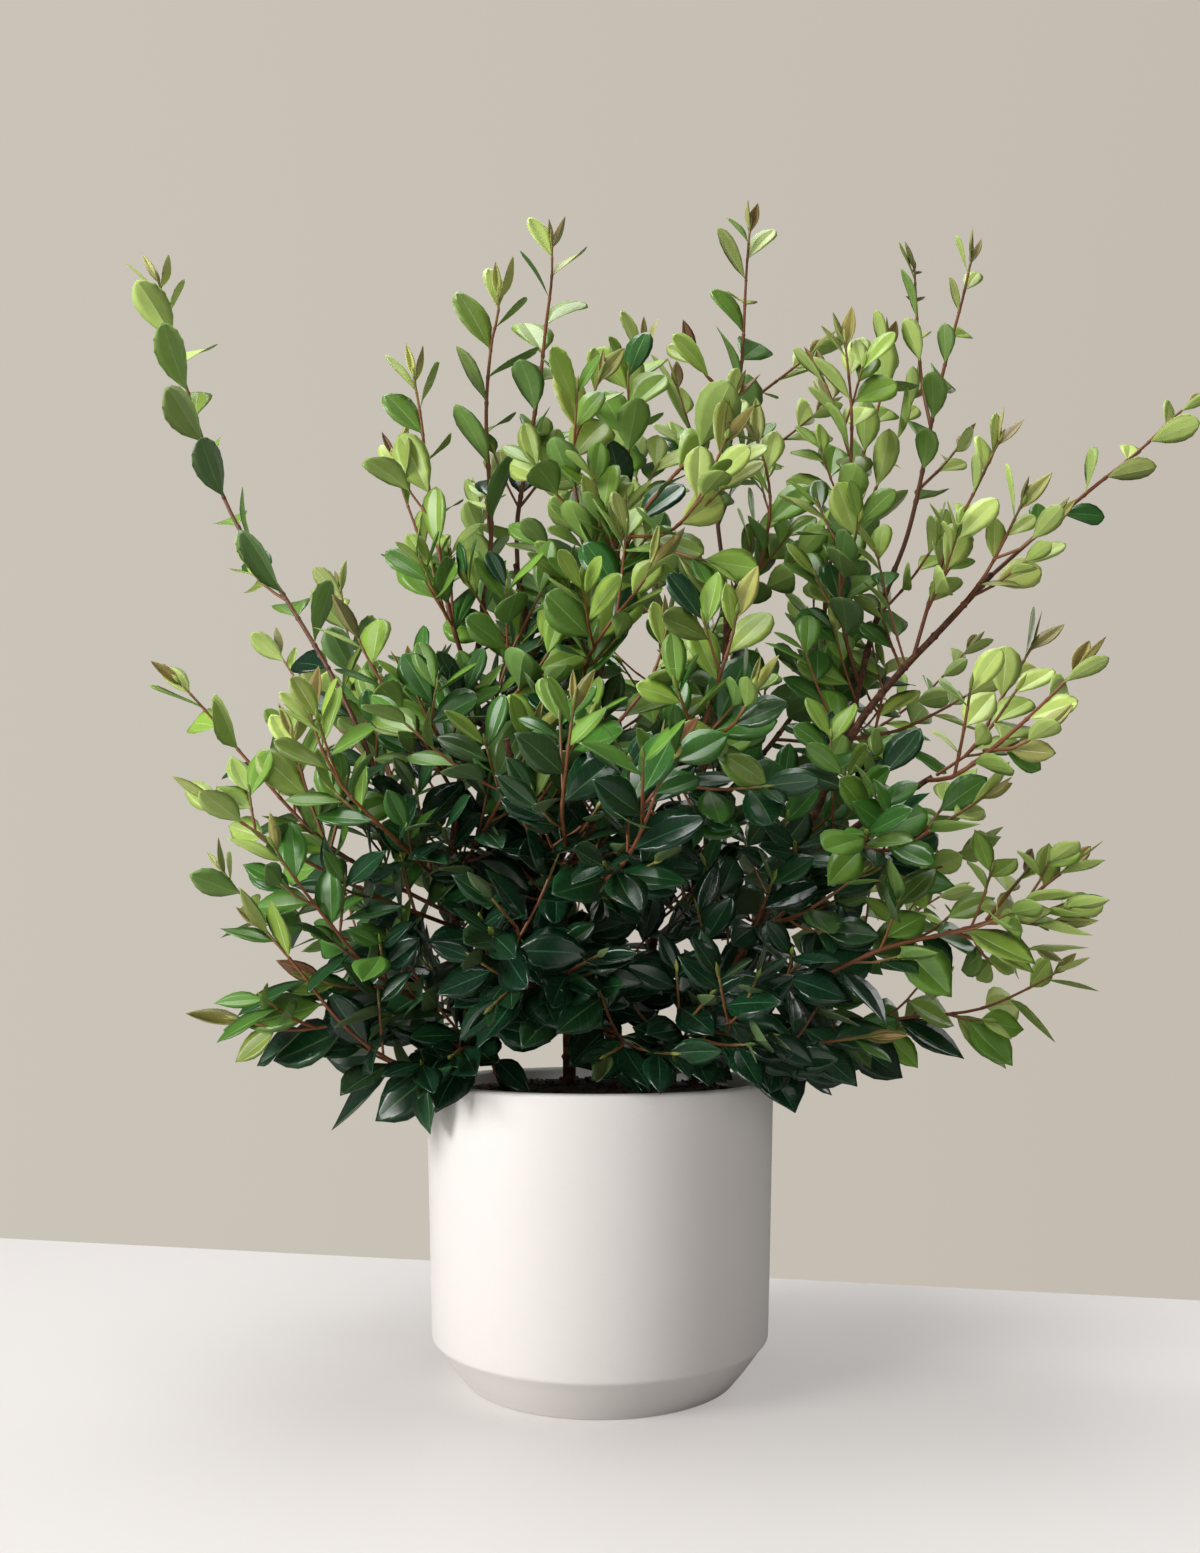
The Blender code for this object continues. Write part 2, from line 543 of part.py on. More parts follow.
def leaf_on(axis, number, distance, age, aside):
    """Set one leaf on a stem, facing out of the plant. Young leaves stand up, and old low ones hang."""
    rng = random.Random("%s leaf %d" % (axis.label, number))
    total = path_length(axis.path)
    root, along = point_at(axis.path, total - distance)
    steep = abs(along.z)
    first = random.Random(axis.label + " turn").uniform(-FIRST_TURN, FIRST_TURN)
    step = LEAF_TURN - UPRIGHT_TURN_LESS * steep
    turn = first + number * step + math.radians(aside) + rng.uniform(-TURN_UNEVENNESS, TURN_UNEVENNESS)
    out = around_stem(along, turn)
    high = min(1.0, max(0.0, (root.z - HIGH_FROM) / HIGH_RISE))
    more = MORE_SPREAD_LOW + (MORE_SPREAD_HIGH - MORE_SPREAD_LOW) * high
    spread = SPEAR_SPREAD + more * age ** SPREAD_CURVE + rng.uniform(-SPREAD_UNEVENNESS, SPREAD_UNEVENNESS)
    outward = Vector((root.x, root.y, 0)).normalized()
    low = age * min(1.0, max(0.0, (HANG_BELOW - root.z) / HANG_FADE))
    heading = along * math.cos(spread) + out * math.sin(spread)
    heading = heading + outward * HANG_OUTWARD * low - UP * rng.uniform(*HANG_DOWN) * low
    heading.normalize()
    open_side = Vector((root.x * FACE_SIDEWAYS, root.y - FACE_MIDDLE, 0)).normalized()
    face = UP * FACE_UPWARD + open_side * rng.uniform(*FACE_OUTWARD) - out * FACE_INWARD
    face = (face - heading * face.dot(heading)).normalized()
    face = Matrix.Rotation(rng.uniform(-FACE_ROLL, FACE_ROLL), 3, heading) @ face
    length = SPEAR_LENGTH + (MATURE_LENGTH - SPEAR_LENGTH) * age ** LENGTH_CURVE
    ratio = SPEAR_RATIO + (MATURE_RATIO - SPEAR_RATIO) * age ** RATIO_CURVE
    length = length * rng.uniform(*LENGTH_UNEVENNESS) * (1 - (1 - LOW_LEAF_SHARE) * low)
    if axis.rank > 1:
        length *= TWIG_LEAF_SHARE
    width = length * ratio * rng.uniform(*WIDTH_UNEVENNESS)
    bend = (SPEAR_BEND + MORE_BEND * age) * rng.uniform(*BEND_UNEVENNESS)
    sunk = nearest_on(axis.spine, root)[0] - heading * axis.end * SUNK_SHARE
    return Leaf(axis.node, sunk, heading, face, length, width, bend)


def place_leaf(axis, spot, room):
    """Set a leaf clear of everything that is already placed, or give it up."""
    number, distance, age = spot
    for aside in LEAF_TURNS:
        leaf = leaf_on(axis, number, distance, age, aside)
        shapes = (blade(leaf), blade(leaf, CLEAR))
        if min(vert.z for vert in shapes[0][0]) < LOWEST_LEAF:
            continue
        if not any(room.crosses(axis.node, *shape, ("leaf",)) for shape in shapes):
            room.add(axis.node, "leaf", *blade(leaf))
            return leaf
    return None


def in_source(axis, number):
    """Choose the leaves that the solids keep: tips first, then evenly along the stem."""
    if axis.rank == 1:
        return number in (0, 2) or number > 2 and (number - 2) % SOURCE_EVERY == 0
    return number in (1, 3)


def lathe(profile, sides, shift=None):
    """Turn a profile of radius and height, from one pole to the other, into a closed body."""
    verts = [Vector((0, 0, profile[0][1]))]
    for ring, (radius, height) in enumerate(profile[1:-1]):
        for k in range(sides):
            turn = math.tau * k / sides
            rise = shift(ring) if shift else 0.0
            verts.append(Vector((radius * math.cos(turn), radius * math.sin(turn), height + rise)))
    verts.append(Vector((0, 0, profile[-1][1])))
    faces = []
    rings = len(profile) - 2
    for k in range(sides):
        after = (k + 1) % sides
        faces.append((0, 1 + after, 1 + k))
        for ring in range(rings - 1):
            a = 1 + ring * sides
            faces.append((a + k, a + after, a + sides + after, a + sides + k))
        top = 1 + (rings - 1) * sides
        faces.append((top + k, top + after, len(verts) - 1))
    return verts, faces


def planter_profile():
    rounding = RIM_ROUNDING
    edge = rounding * (1 - math.sqrt(0.5))
    inner = RIM_RADIUS - WALL
    return [
        (0, 0),
        (FOOT_RADIUS, 0),
        (SHOULDER_RADIUS, SHOULDER_HEIGHT),
        (RIM_RADIUS, RIM_HEIGHT - rounding),
        (RIM_RADIUS - edge, RIM_HEIGHT - edge),
        (RIM_RADIUS - rounding, RIM_HEIGHT),
        (inner + rounding, RIM_HEIGHT),
        (inner + edge, RIM_HEIGHT - edge),
        (inner, RIM_HEIGHT - rounding),
        (SHOULDER_RADIUS - WALL, SHOULDER_HEIGHT + 2 * MM),
        (FOOT_RADIUS - WALL + 2 * MM, FLOOR),
        (0, FLOOR),
    ]


def soil_profile():
    gap = SEAT_GAP * 1.3
    wall_foot = SHOULDER_RADIUS - WALL
    wall_top = RIM_RADIUS - WALL
    rise = (SOIL_EDGE - SHOULDER_HEIGHT) / (RIM_HEIGHT - RIM_ROUNDING - SHOULDER_HEIGHT)
    edge = wall_foot + (wall_top - wall_foot) * rise - gap
    return [
        (0, FLOOR + SEAT_GAP),
        (FOOT_RADIUS - WALL + 2 * MM - 2 * gap, FLOOR + SEAT_GAP),
        (wall_foot - 2 * gap, SHOULDER_HEIGHT + 2 * MM + SEAT_GAP),
        (edge, SOIL_EDGE),
        (edge * 0.72, SOIL_EDGE + (SOIL_CROWN - SOIL_EDGE) * 0.55),
        (edge * 0.38, SOIL_CROWN),
        (0, SOIL_CROWN),
    ]


def finish(obj, colour, roughness):
    material = bpy.data.materials.new(obj.name + "_finish")
    material.use_nodes = True
    shader = material.node_tree.nodes["Principled BSDF"]
    shader.inputs["Base Color"].default_value = (*colour, 1)
    shader.inputs["Roughness"].default_value = roughness
    shader.inputs["Metallic"].default_value = 0.0
    obj.data.materials.append(material)


def make_object(name, verts, faces):
    mesh = bpy.data.meshes.new(name)
    mesh.from_pydata([tuple(v) for v in verts], [], faces)
    mesh.update()
    obj = bpy.data.objects.new(name, mesh)
    bpy.context.scene.collection.objects.link(obj)
    return obj


def open_spot(mesh):
    """Return a place where a mesh isn't closed, or None."""
    uses = {}
    for face in mesh.polygons:
        for key in face.edge_keys:
            uses[key] = uses.get(key, 0) + 1
    for key, count in uses.items():
        if count != 2:
            return mesh.vertices[key[0]].co.copy()
    return None


def combine(obj, operation, shapes):
    """Join shapes to an object, or cut them from it, in one Boolean on a collection."""
    group = bpy.data.collections.new(obj.name + "_" + operation.lower())
    bpy.context.scene.collection.children.link(group)
    for number, (verts, faces) in enumerate(shapes):
        piece = make_object("%s_%s_%d" % (obj.name, operation.lower(), number), verts, faces)
        bpy.context.scene.collection.objects.unlink(piece)
        group.objects.link(piece)
    modifier = obj.modifiers.new("combine", "BOOLEAN")
    modifier.operation = operation
    modifier.operand_type = "COLLECTION"
    modifier.collection = group
    modifier.solver = "EXACT"
    bpy.context.view_layer.update()
    evaluated = obj.evaluated_get(bpy.context.evaluated_depsgraph_get())
    joined = bpy.data.meshes.new_from_object(evaluated)
    obj.modifiers.clear()
    old = obj.data
    obj.data = joined
    bpy.data.meshes.remove(old)
    for piece in list(group.objects):
        mesh = piece.data
        bpy.data.objects.remove(piece)
        bpy.data.meshes.remove(mesh)
    bpy.data.collections.remove(group)


def keep_body(obj, split="BEAUTY"):
    """Keep the largest closed shell, so that no scrap and no sealed hollow stays, in triangles."""
    bm = bmesh.new()
    bm.from_mesh(obj.data)
    bmesh.ops.remove_doubles(bm, verts=bm.verts, dist=1e-6)
    bmesh.ops.triangulate(bm, faces=bm.faces, ngon_method=split)
    bm.faces.ensure_lookup_table()
    shells = []
    seen = set()
    for face in bm.faces:
        if face.index in seen:
            continue
        shell = [face]
        seen.add(face.index)
        for member in shell:
            for edge in member.edges:
                for near in edge.link_faces:
                    if near.index not in seen:
                        seen.add(near.index)
                        shell.append(near)
        shells.append(shell)
    shells.sort(key=len)
    scraps = [face for shell in shells[:-1] for face in shell]
    bmesh.ops.delete(bm, geom=scraps, context="FACES")
    bm.to_mesh(obj.data)
    bm.free()


def smooth(obj, degrees):
    obj.data.shade_smooth()
    obj.data.set_sharp_from_angle(angle=math.radians(degrees))


def widened(axis, gap, sides):
    """The tube of an axis with a gap all round it, to cut a seat or a hole."""
    more = gap / math.cos(math.pi / sides)
    path = list(axis.path)
    path[0] = path[0] + (path[0] - path[1]).normalized() * gap
    path[-1] = path[-1] + (path[-1] - path[-2]).normalized() * gap
    return tube(path, axis.start + more, axis.end + more, sides)


def build_planter():
    pot = make_object("pot", *lathe(planter_profile(), ROUND_SIDES))
    smooth(pot, 30)
    finish(pot, (0.86, 0.84, 0.81), 0.55)
    return pot


def build_soil(wood):
    rng = random.Random("soil")
    top_rings = (3, 4)

    def unevenness(ring):
        return rng.uniform(-1, 1) * SOIL_ROUGHNESS if ring in top_rings else 0.0

    soil = make_object("soil", *lathe(soil_profile(), ROUND_SIDES, unevenness))
    holes = [widened(axis, SEAT_GAP, SIDES[0]) for axis in wood if axis.path[0].z < SOIL_EDGE]
    combine(soil, "DIFFERENCE", holes)
    keep_body(soil)
    finish(soil, (0.035, 0.022, 0.016), 0.95)
    return soil


def fuse(name, axes, leaves, seats):
    """Fuse stems and leaves. Where they don't close, a stem is turned, and then one leaf is left out."""
    leaves = list(leaves)
    for number in range(MOST_TRIES):
        shapes = [tube(axis.spine, axis.start, axis.end, SIDES[axis.rank], RETRY_TWIST * number * axis.rank)
                  for axis in axes]
        obj = make_object(name, *shapes[0])
        combine(obj, "UNION", shapes[1:] + [blade(leaf) for leaf in leaves])
        if seats:
            combine(obj, "DIFFERENCE", seats)
        keep_body(obj, ("BEAUTY", "EAR_CLIP")[number % 2])
        spot = open_spot(obj.data)
        if spot is None:
            return obj
        bpy.data.objects.remove(obj)
        if number:
            leaves.remove(min(leaves, key=lambda leaf: (leaf.root - spot).length))
    return None


def build_trunk(name, axes, leaves):
    obj = fuse(name, axes, leaves, ())
    smooth(obj, 50)
    finish(obj, (0.16, 0.075, 0.04), 0.8)


def build_stem(name, axes, leaves, seats):
    obj = fuse(name, axes, leaves, seats)
    smooth(obj, 40)
    height = sum(leaf.root.z for leaf in leaves) / len(leaves)
    young = min(1.0, max(0.0, (height - 0.3) / 0.5))
    finish(obj, (0.03 + 0.20 * young, 0.10 + 0.25 * young, 0.03 + 0.02 * young), 0.4)


def grow():
    """Lay out every stem, twig and leaf of the solids."""
    room = Room()
    room.add("pot", "pot", *lathe(planter_profile(), ROUND_SIDES))
    room.add("soil", "soil", *lathe(soil_profile(), ROUND_SIDES))
    wood = wood_axes()
    for axis in wood:
        room.add(axis.node, "wood", *tube(axis.path, axis.start + CLEAR, axis.end + CLEAR, SIDES[0]))
    stems = stem_axes(wood)
    for axis in stems:
        foot = axis.start * ROOM_SHARE + CLEAR
        room.add(axis.node, "stem", *tube(axis.spine, foot, axis.end + CLEAR, ROOM_SIDES))
    twigs = twig_axes(wood, room, TRUNK_TWIGS) + twig_axes(stems, room, STEM_TWIGS)
    leaves = []
    for axis in stems + twigs:
        for spot in leaf_spots(axis):
            if in_source(axis, spot[0]):
                leaves.append(place_leaf(axis, spot, room))
    return wood, stems, twigs, [leaf for leaf in leaves if leaf]


def build():
    for obj in list(bpy.data.objects):
        bpy.data.objects.remove(obj)
    wood, stems, twigs, leaves = grow()
    build_planter()
    build_soil(wood)
    for name, _ in TRUNKS:
        axes = [axis for axis in wood + twigs if axis.node == name]
        build_trunk(name, axes, [leaf for leaf in leaves if leaf.node == name])
    for name, trunk, _, _ in STEMS:
        axes = [axis for axis in stems + twigs if axis.node == name]
        seats = [widened(axis, SEAT_GAP, SIDES[0]) for axis in wood if axis.node == trunk]
        build_stem(name, axes, [leaf for leaf in leaves if leaf.node == name], seats)


build()
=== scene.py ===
"""Looks of the small-leaved camellia in its round white planter.

Stems, twigs and leaves are grown by the same rule as the solids, then dressed with fine leaves and shoots.
Everything is in metres, +Z up, with the origin at the centre of the planter's underside.
"""
import math
import random
from collections import namedtuple

import bmesh
import bpy
from mathutils import Matrix, Vector, noise
from mathutils.bvhtree import BVHTree


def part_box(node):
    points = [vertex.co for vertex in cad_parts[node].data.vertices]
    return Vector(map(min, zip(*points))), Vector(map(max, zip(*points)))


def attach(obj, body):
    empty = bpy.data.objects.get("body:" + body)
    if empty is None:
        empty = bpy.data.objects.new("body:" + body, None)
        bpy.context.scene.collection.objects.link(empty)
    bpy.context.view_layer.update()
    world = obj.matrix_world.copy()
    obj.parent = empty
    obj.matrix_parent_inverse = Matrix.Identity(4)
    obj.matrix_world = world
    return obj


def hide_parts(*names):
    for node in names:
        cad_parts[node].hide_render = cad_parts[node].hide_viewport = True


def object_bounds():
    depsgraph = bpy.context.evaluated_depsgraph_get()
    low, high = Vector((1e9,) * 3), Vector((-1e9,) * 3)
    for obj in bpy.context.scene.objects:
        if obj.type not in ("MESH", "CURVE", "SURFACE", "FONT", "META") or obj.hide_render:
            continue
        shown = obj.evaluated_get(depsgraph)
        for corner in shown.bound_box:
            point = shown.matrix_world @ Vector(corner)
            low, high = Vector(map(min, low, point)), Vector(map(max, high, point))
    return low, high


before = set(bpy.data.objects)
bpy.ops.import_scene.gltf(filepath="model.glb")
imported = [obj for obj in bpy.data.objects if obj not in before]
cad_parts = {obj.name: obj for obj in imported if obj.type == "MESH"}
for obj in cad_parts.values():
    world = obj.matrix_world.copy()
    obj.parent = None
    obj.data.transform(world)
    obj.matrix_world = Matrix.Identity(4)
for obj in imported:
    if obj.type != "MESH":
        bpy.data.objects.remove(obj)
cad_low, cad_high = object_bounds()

MM = 0.001
UP = Vector((0, 0, 1))
SEAT_GAP = 0.3 * MM

# Planter
RIM_RADIUS = 140 * MM
RIM_HEIGHT = 238 * MM
RIM_ROUNDING = 3 * MM
WALL = 11.5 * MM
SHOULDER_RADIUS = 136 * MM
SHOULDER_HEIGHT = 36 * MM
SHOULDER_ROUNDING = 6 * MM
FOOT_RADIUS = 111 * MM
FOOT_ROUNDING = 2 * MM
FLOOR = 14 * MM
ROUND_SIDES = 32

# Soil, with its slope from its edge inwards as shares of its radius and of its crown's rise
SOIL_EDGE = 226 * MM
SOIL_CROWN = 235 * MM
SOIL_GAP = SEAT_GAP * 1.3
SOIL_SLOPE = ((1, 0), (0.72, 0.55), (0.38, 1))

# Stems: a smooth route is read at an even step, and a solid's route at a longer one
CURVE_PARTS = 12
WOOD_STEP = 56 * MM
SPINE_STEP = 68 * MM
FINE_STEP = 12 * MM
TRUNK_SIDES = 6
TWIG_SIDES = 4
SIDE_STEM_SHARE = 0.75
TIP_RADIUS = 0.9 * MM

# Room that is kept round what is placed
CLEAR = 0.5 * MM
ROOM_SIDES = 5
ROOM_SHARE = 0.8
CELL = 50 * MM

# The dense middle of the crown, and the whole crown: centre, then reach, in metres
DENSE_CROWN = ((0.02, 0.0, 0.46), (0.36, 0.34, 0.27))
FULL_CROWN = ((0.05, 0.0, 0.52), (0.33, 0.33, 0.36))

# Side twigs, which grow in the dense middle of the plant, on the leafy stems and on the trunks.
# A plan's lean is along the stem, away from it and up, and its room is the radius that is kept clear.
TwigPlan = namedtuple("TwigPlan", "rank crown spacing reach lowest lean radius room")
STEM_TWIGS = TwigPlan(2, DENSE_CROWN, 200 * MM, (34 * MM, 72 * MM), 0.0,
                      (0.68, 0.64, 0.36), 1.3 * MM, 2.2 * MM)
TRUNK_TWIGS = TwigPlan(2, DENSE_CROWN, 104 * MM, (64 * MM, 100 * MM), 300 * MM,
                       (0.34, 0.78, 0.42), 1.3 * MM, 2.2 * MM)
TWIG_UNEVENNESS = (0.8, 1.25)
TWIG_START = (0.20, 22 * MM)
TWIG_END = 38 * MM
TWIG_STEP = 14 * MM
TWIG_RISE = 0.12
TWIG_TURNS = (0, 40, -40, 80, -80, 150)
GOLDEN_TURN = math.radians(137.5)

# Leaves: a blade is (share of its length, share of its width on each side) with a keel under its midrib
BLADE_THICKNESS = 1.6 * MM
BLADE_STATIONS = ((0.10, 0.05), (0.42, 0.48), (0.78, 0.40))
BLADE_KEEL = 0.36
MATURE_LENGTH = 52 * MM
SPEAR_LENGTH = 27 * MM
MATURE_RATIO = 0.56
SPEAR_RATIO = 0.25

# Leaves stand at these distances from a tip in millimetres, then evenly, each half a turn from the last
TIP_OFFSETS = (0.5, 4, 13, 28, 47, 69)
NODE_SPACING = 23
NODE_UNEVENNESS = (0.88, 1.15)
BARE_FOOT = (18, 0.16)
BARE_TWIG_FOOT = 9
LEAF_TURN = math.pi
FIRST_TURN = 0.6
TURN_UNEVENNESS = 0.25
UPRIGHT_TURN_LESS = math.radians(12)
UPRIGHT = 0.80
LEAF_TURNS = (0, 30, -30, 60, -60, 100, -100)
SPEAR_SPREAD = math.radians(10)
MORE_SPREAD_LOW = math.radians(38)
MORE_SPREAD_HIGH = math.radians(22)
SPREAD_OVER = (0.38, 0.25)
SPREAD_CURVE = 0.8
SPREAD_UNEVENNESS = 0.14
LOWEST_LEAF = 208 * MM
SPEAR_BEND = math.radians(8)
MORE_BEND = math.radians(26)
HANG_BELOW = 0.43
HANG_FADE = 0.15
HANG_OUTWARD = 0.45
HANG_DOWN = (0.2, 0.8)
FACE_MIDDLE = 0.14
FACE_SIDEWAYS = 0.5
FACE_UPWARD = 0.6
FACE_OUTWARD = (0.5, 1.2)
FACE_INWARD = 0.4
FACE_ROLL = 0.5
LENGTH_UNEVENNESS = (0.80, 1.14)
WIDTH_UNEVENNESS = (0.92, 1.08)
BEND_UNEVENNESS = (0.6, 1.3)
LENGTH_CURVE = 0.7
RATIO_CURVE = 0.6
SUNK_SHARE = 0.4
FULL_AGE = 5
TWIG_TIP_AGE = 2
TWIG_LEAF_SHARE = 0.88
LOW_LEAF_SHARE = 0.90
SOURCE_EVERY = 5

# Each trunk has its main stem first and then its limbs.
# A stem is (diameter at its foot, diameter at its end, points of its route), all in millimetres.
TRUNKS = (
    ("trunk_main", (
        (11.5, 5.4, ((-25, -5, 170), (-25, -5, 240), (-26, -5, 300), (-30, 0, 360), (-35, 10, 420),
                     (-38, 15, 470), (-46, 20, 520), (-54, 20, 570), (-62, 20, 620), (-70, 20, 665))),
        (6.6, 4.4, ((-30, 0, 360), (-40, -50, 390), (-50, -100, 425), (-60, -130, 455), (-65, -145, 485))),
        (6.8, 4.6, ((-33, 5, 400), (0, -55, 440), (30, -95, 460), (60, -120, 475), (80, -130, 490))),
        (6.6, 4.8, ((-38, 15, 470), (-15, 5, 520), (0, 0, 570), (10, 5, 620), (15, 10, 665))),
    )),
    ("trunk_left", (
        (9.5, 5.4, ((-70, 10, 170), (-78, 8, 230), (-98, 0, 285), (-114, -5, 345), (-120, -5, 390),
                    (-119, 0, 435), (-114, 5, 485), (-108, 10, 540), (-101, 12, 590), (-95, 15, 640))),
        (6.0, 4.4, ((-120, -5, 390), (-155, 60, 440), (-190, 110, 500), (-215, 140, 565))),
    )),
    ("trunk_right", (
        (9.5, 5.0, ((72, 5, 170), (76, 5, 230), (92, -5, 295), (125, -10, 360), (155, -5, 415),
                    (188, 0, 480), (213, 5, 530), (250, 10, 575), (290, 15, 617), (325, 15, 655))),
        (6.2, 4.9, ((200, 2, 505), (218, 30, 565), (238, 50, 630), (255, 55, 675))),
        (6.0, 4.2, ((142, -8, 390), (175, -60, 420), (208, -95, 445), (240, -110, 465))),
    )),
    ("trunk_back", (
        (8.5, 5.2, ((45, 60, 170), (45, 60, 230), (45, 61, 295), (47, 66, 365), (62, 80, 435),
                    (90, 90, 500), (108, 98, 570), (114, 98, 645), (110, 95, 695))),
        (5.8, 4.4, ((47, 66, 365), (15, 120, 430), (-25, 165, 500), (-55, 190, 575))),
        (5.8, 4.4, ((62, 80, 435), (130, 135, 505), (190, 165, 580), (225, 180, 650))),
        (5.4, 4.2, ((84, 90, 485), (75, 150, 555), (60, 185, 640), (55, 200, 715))),
    )),
)

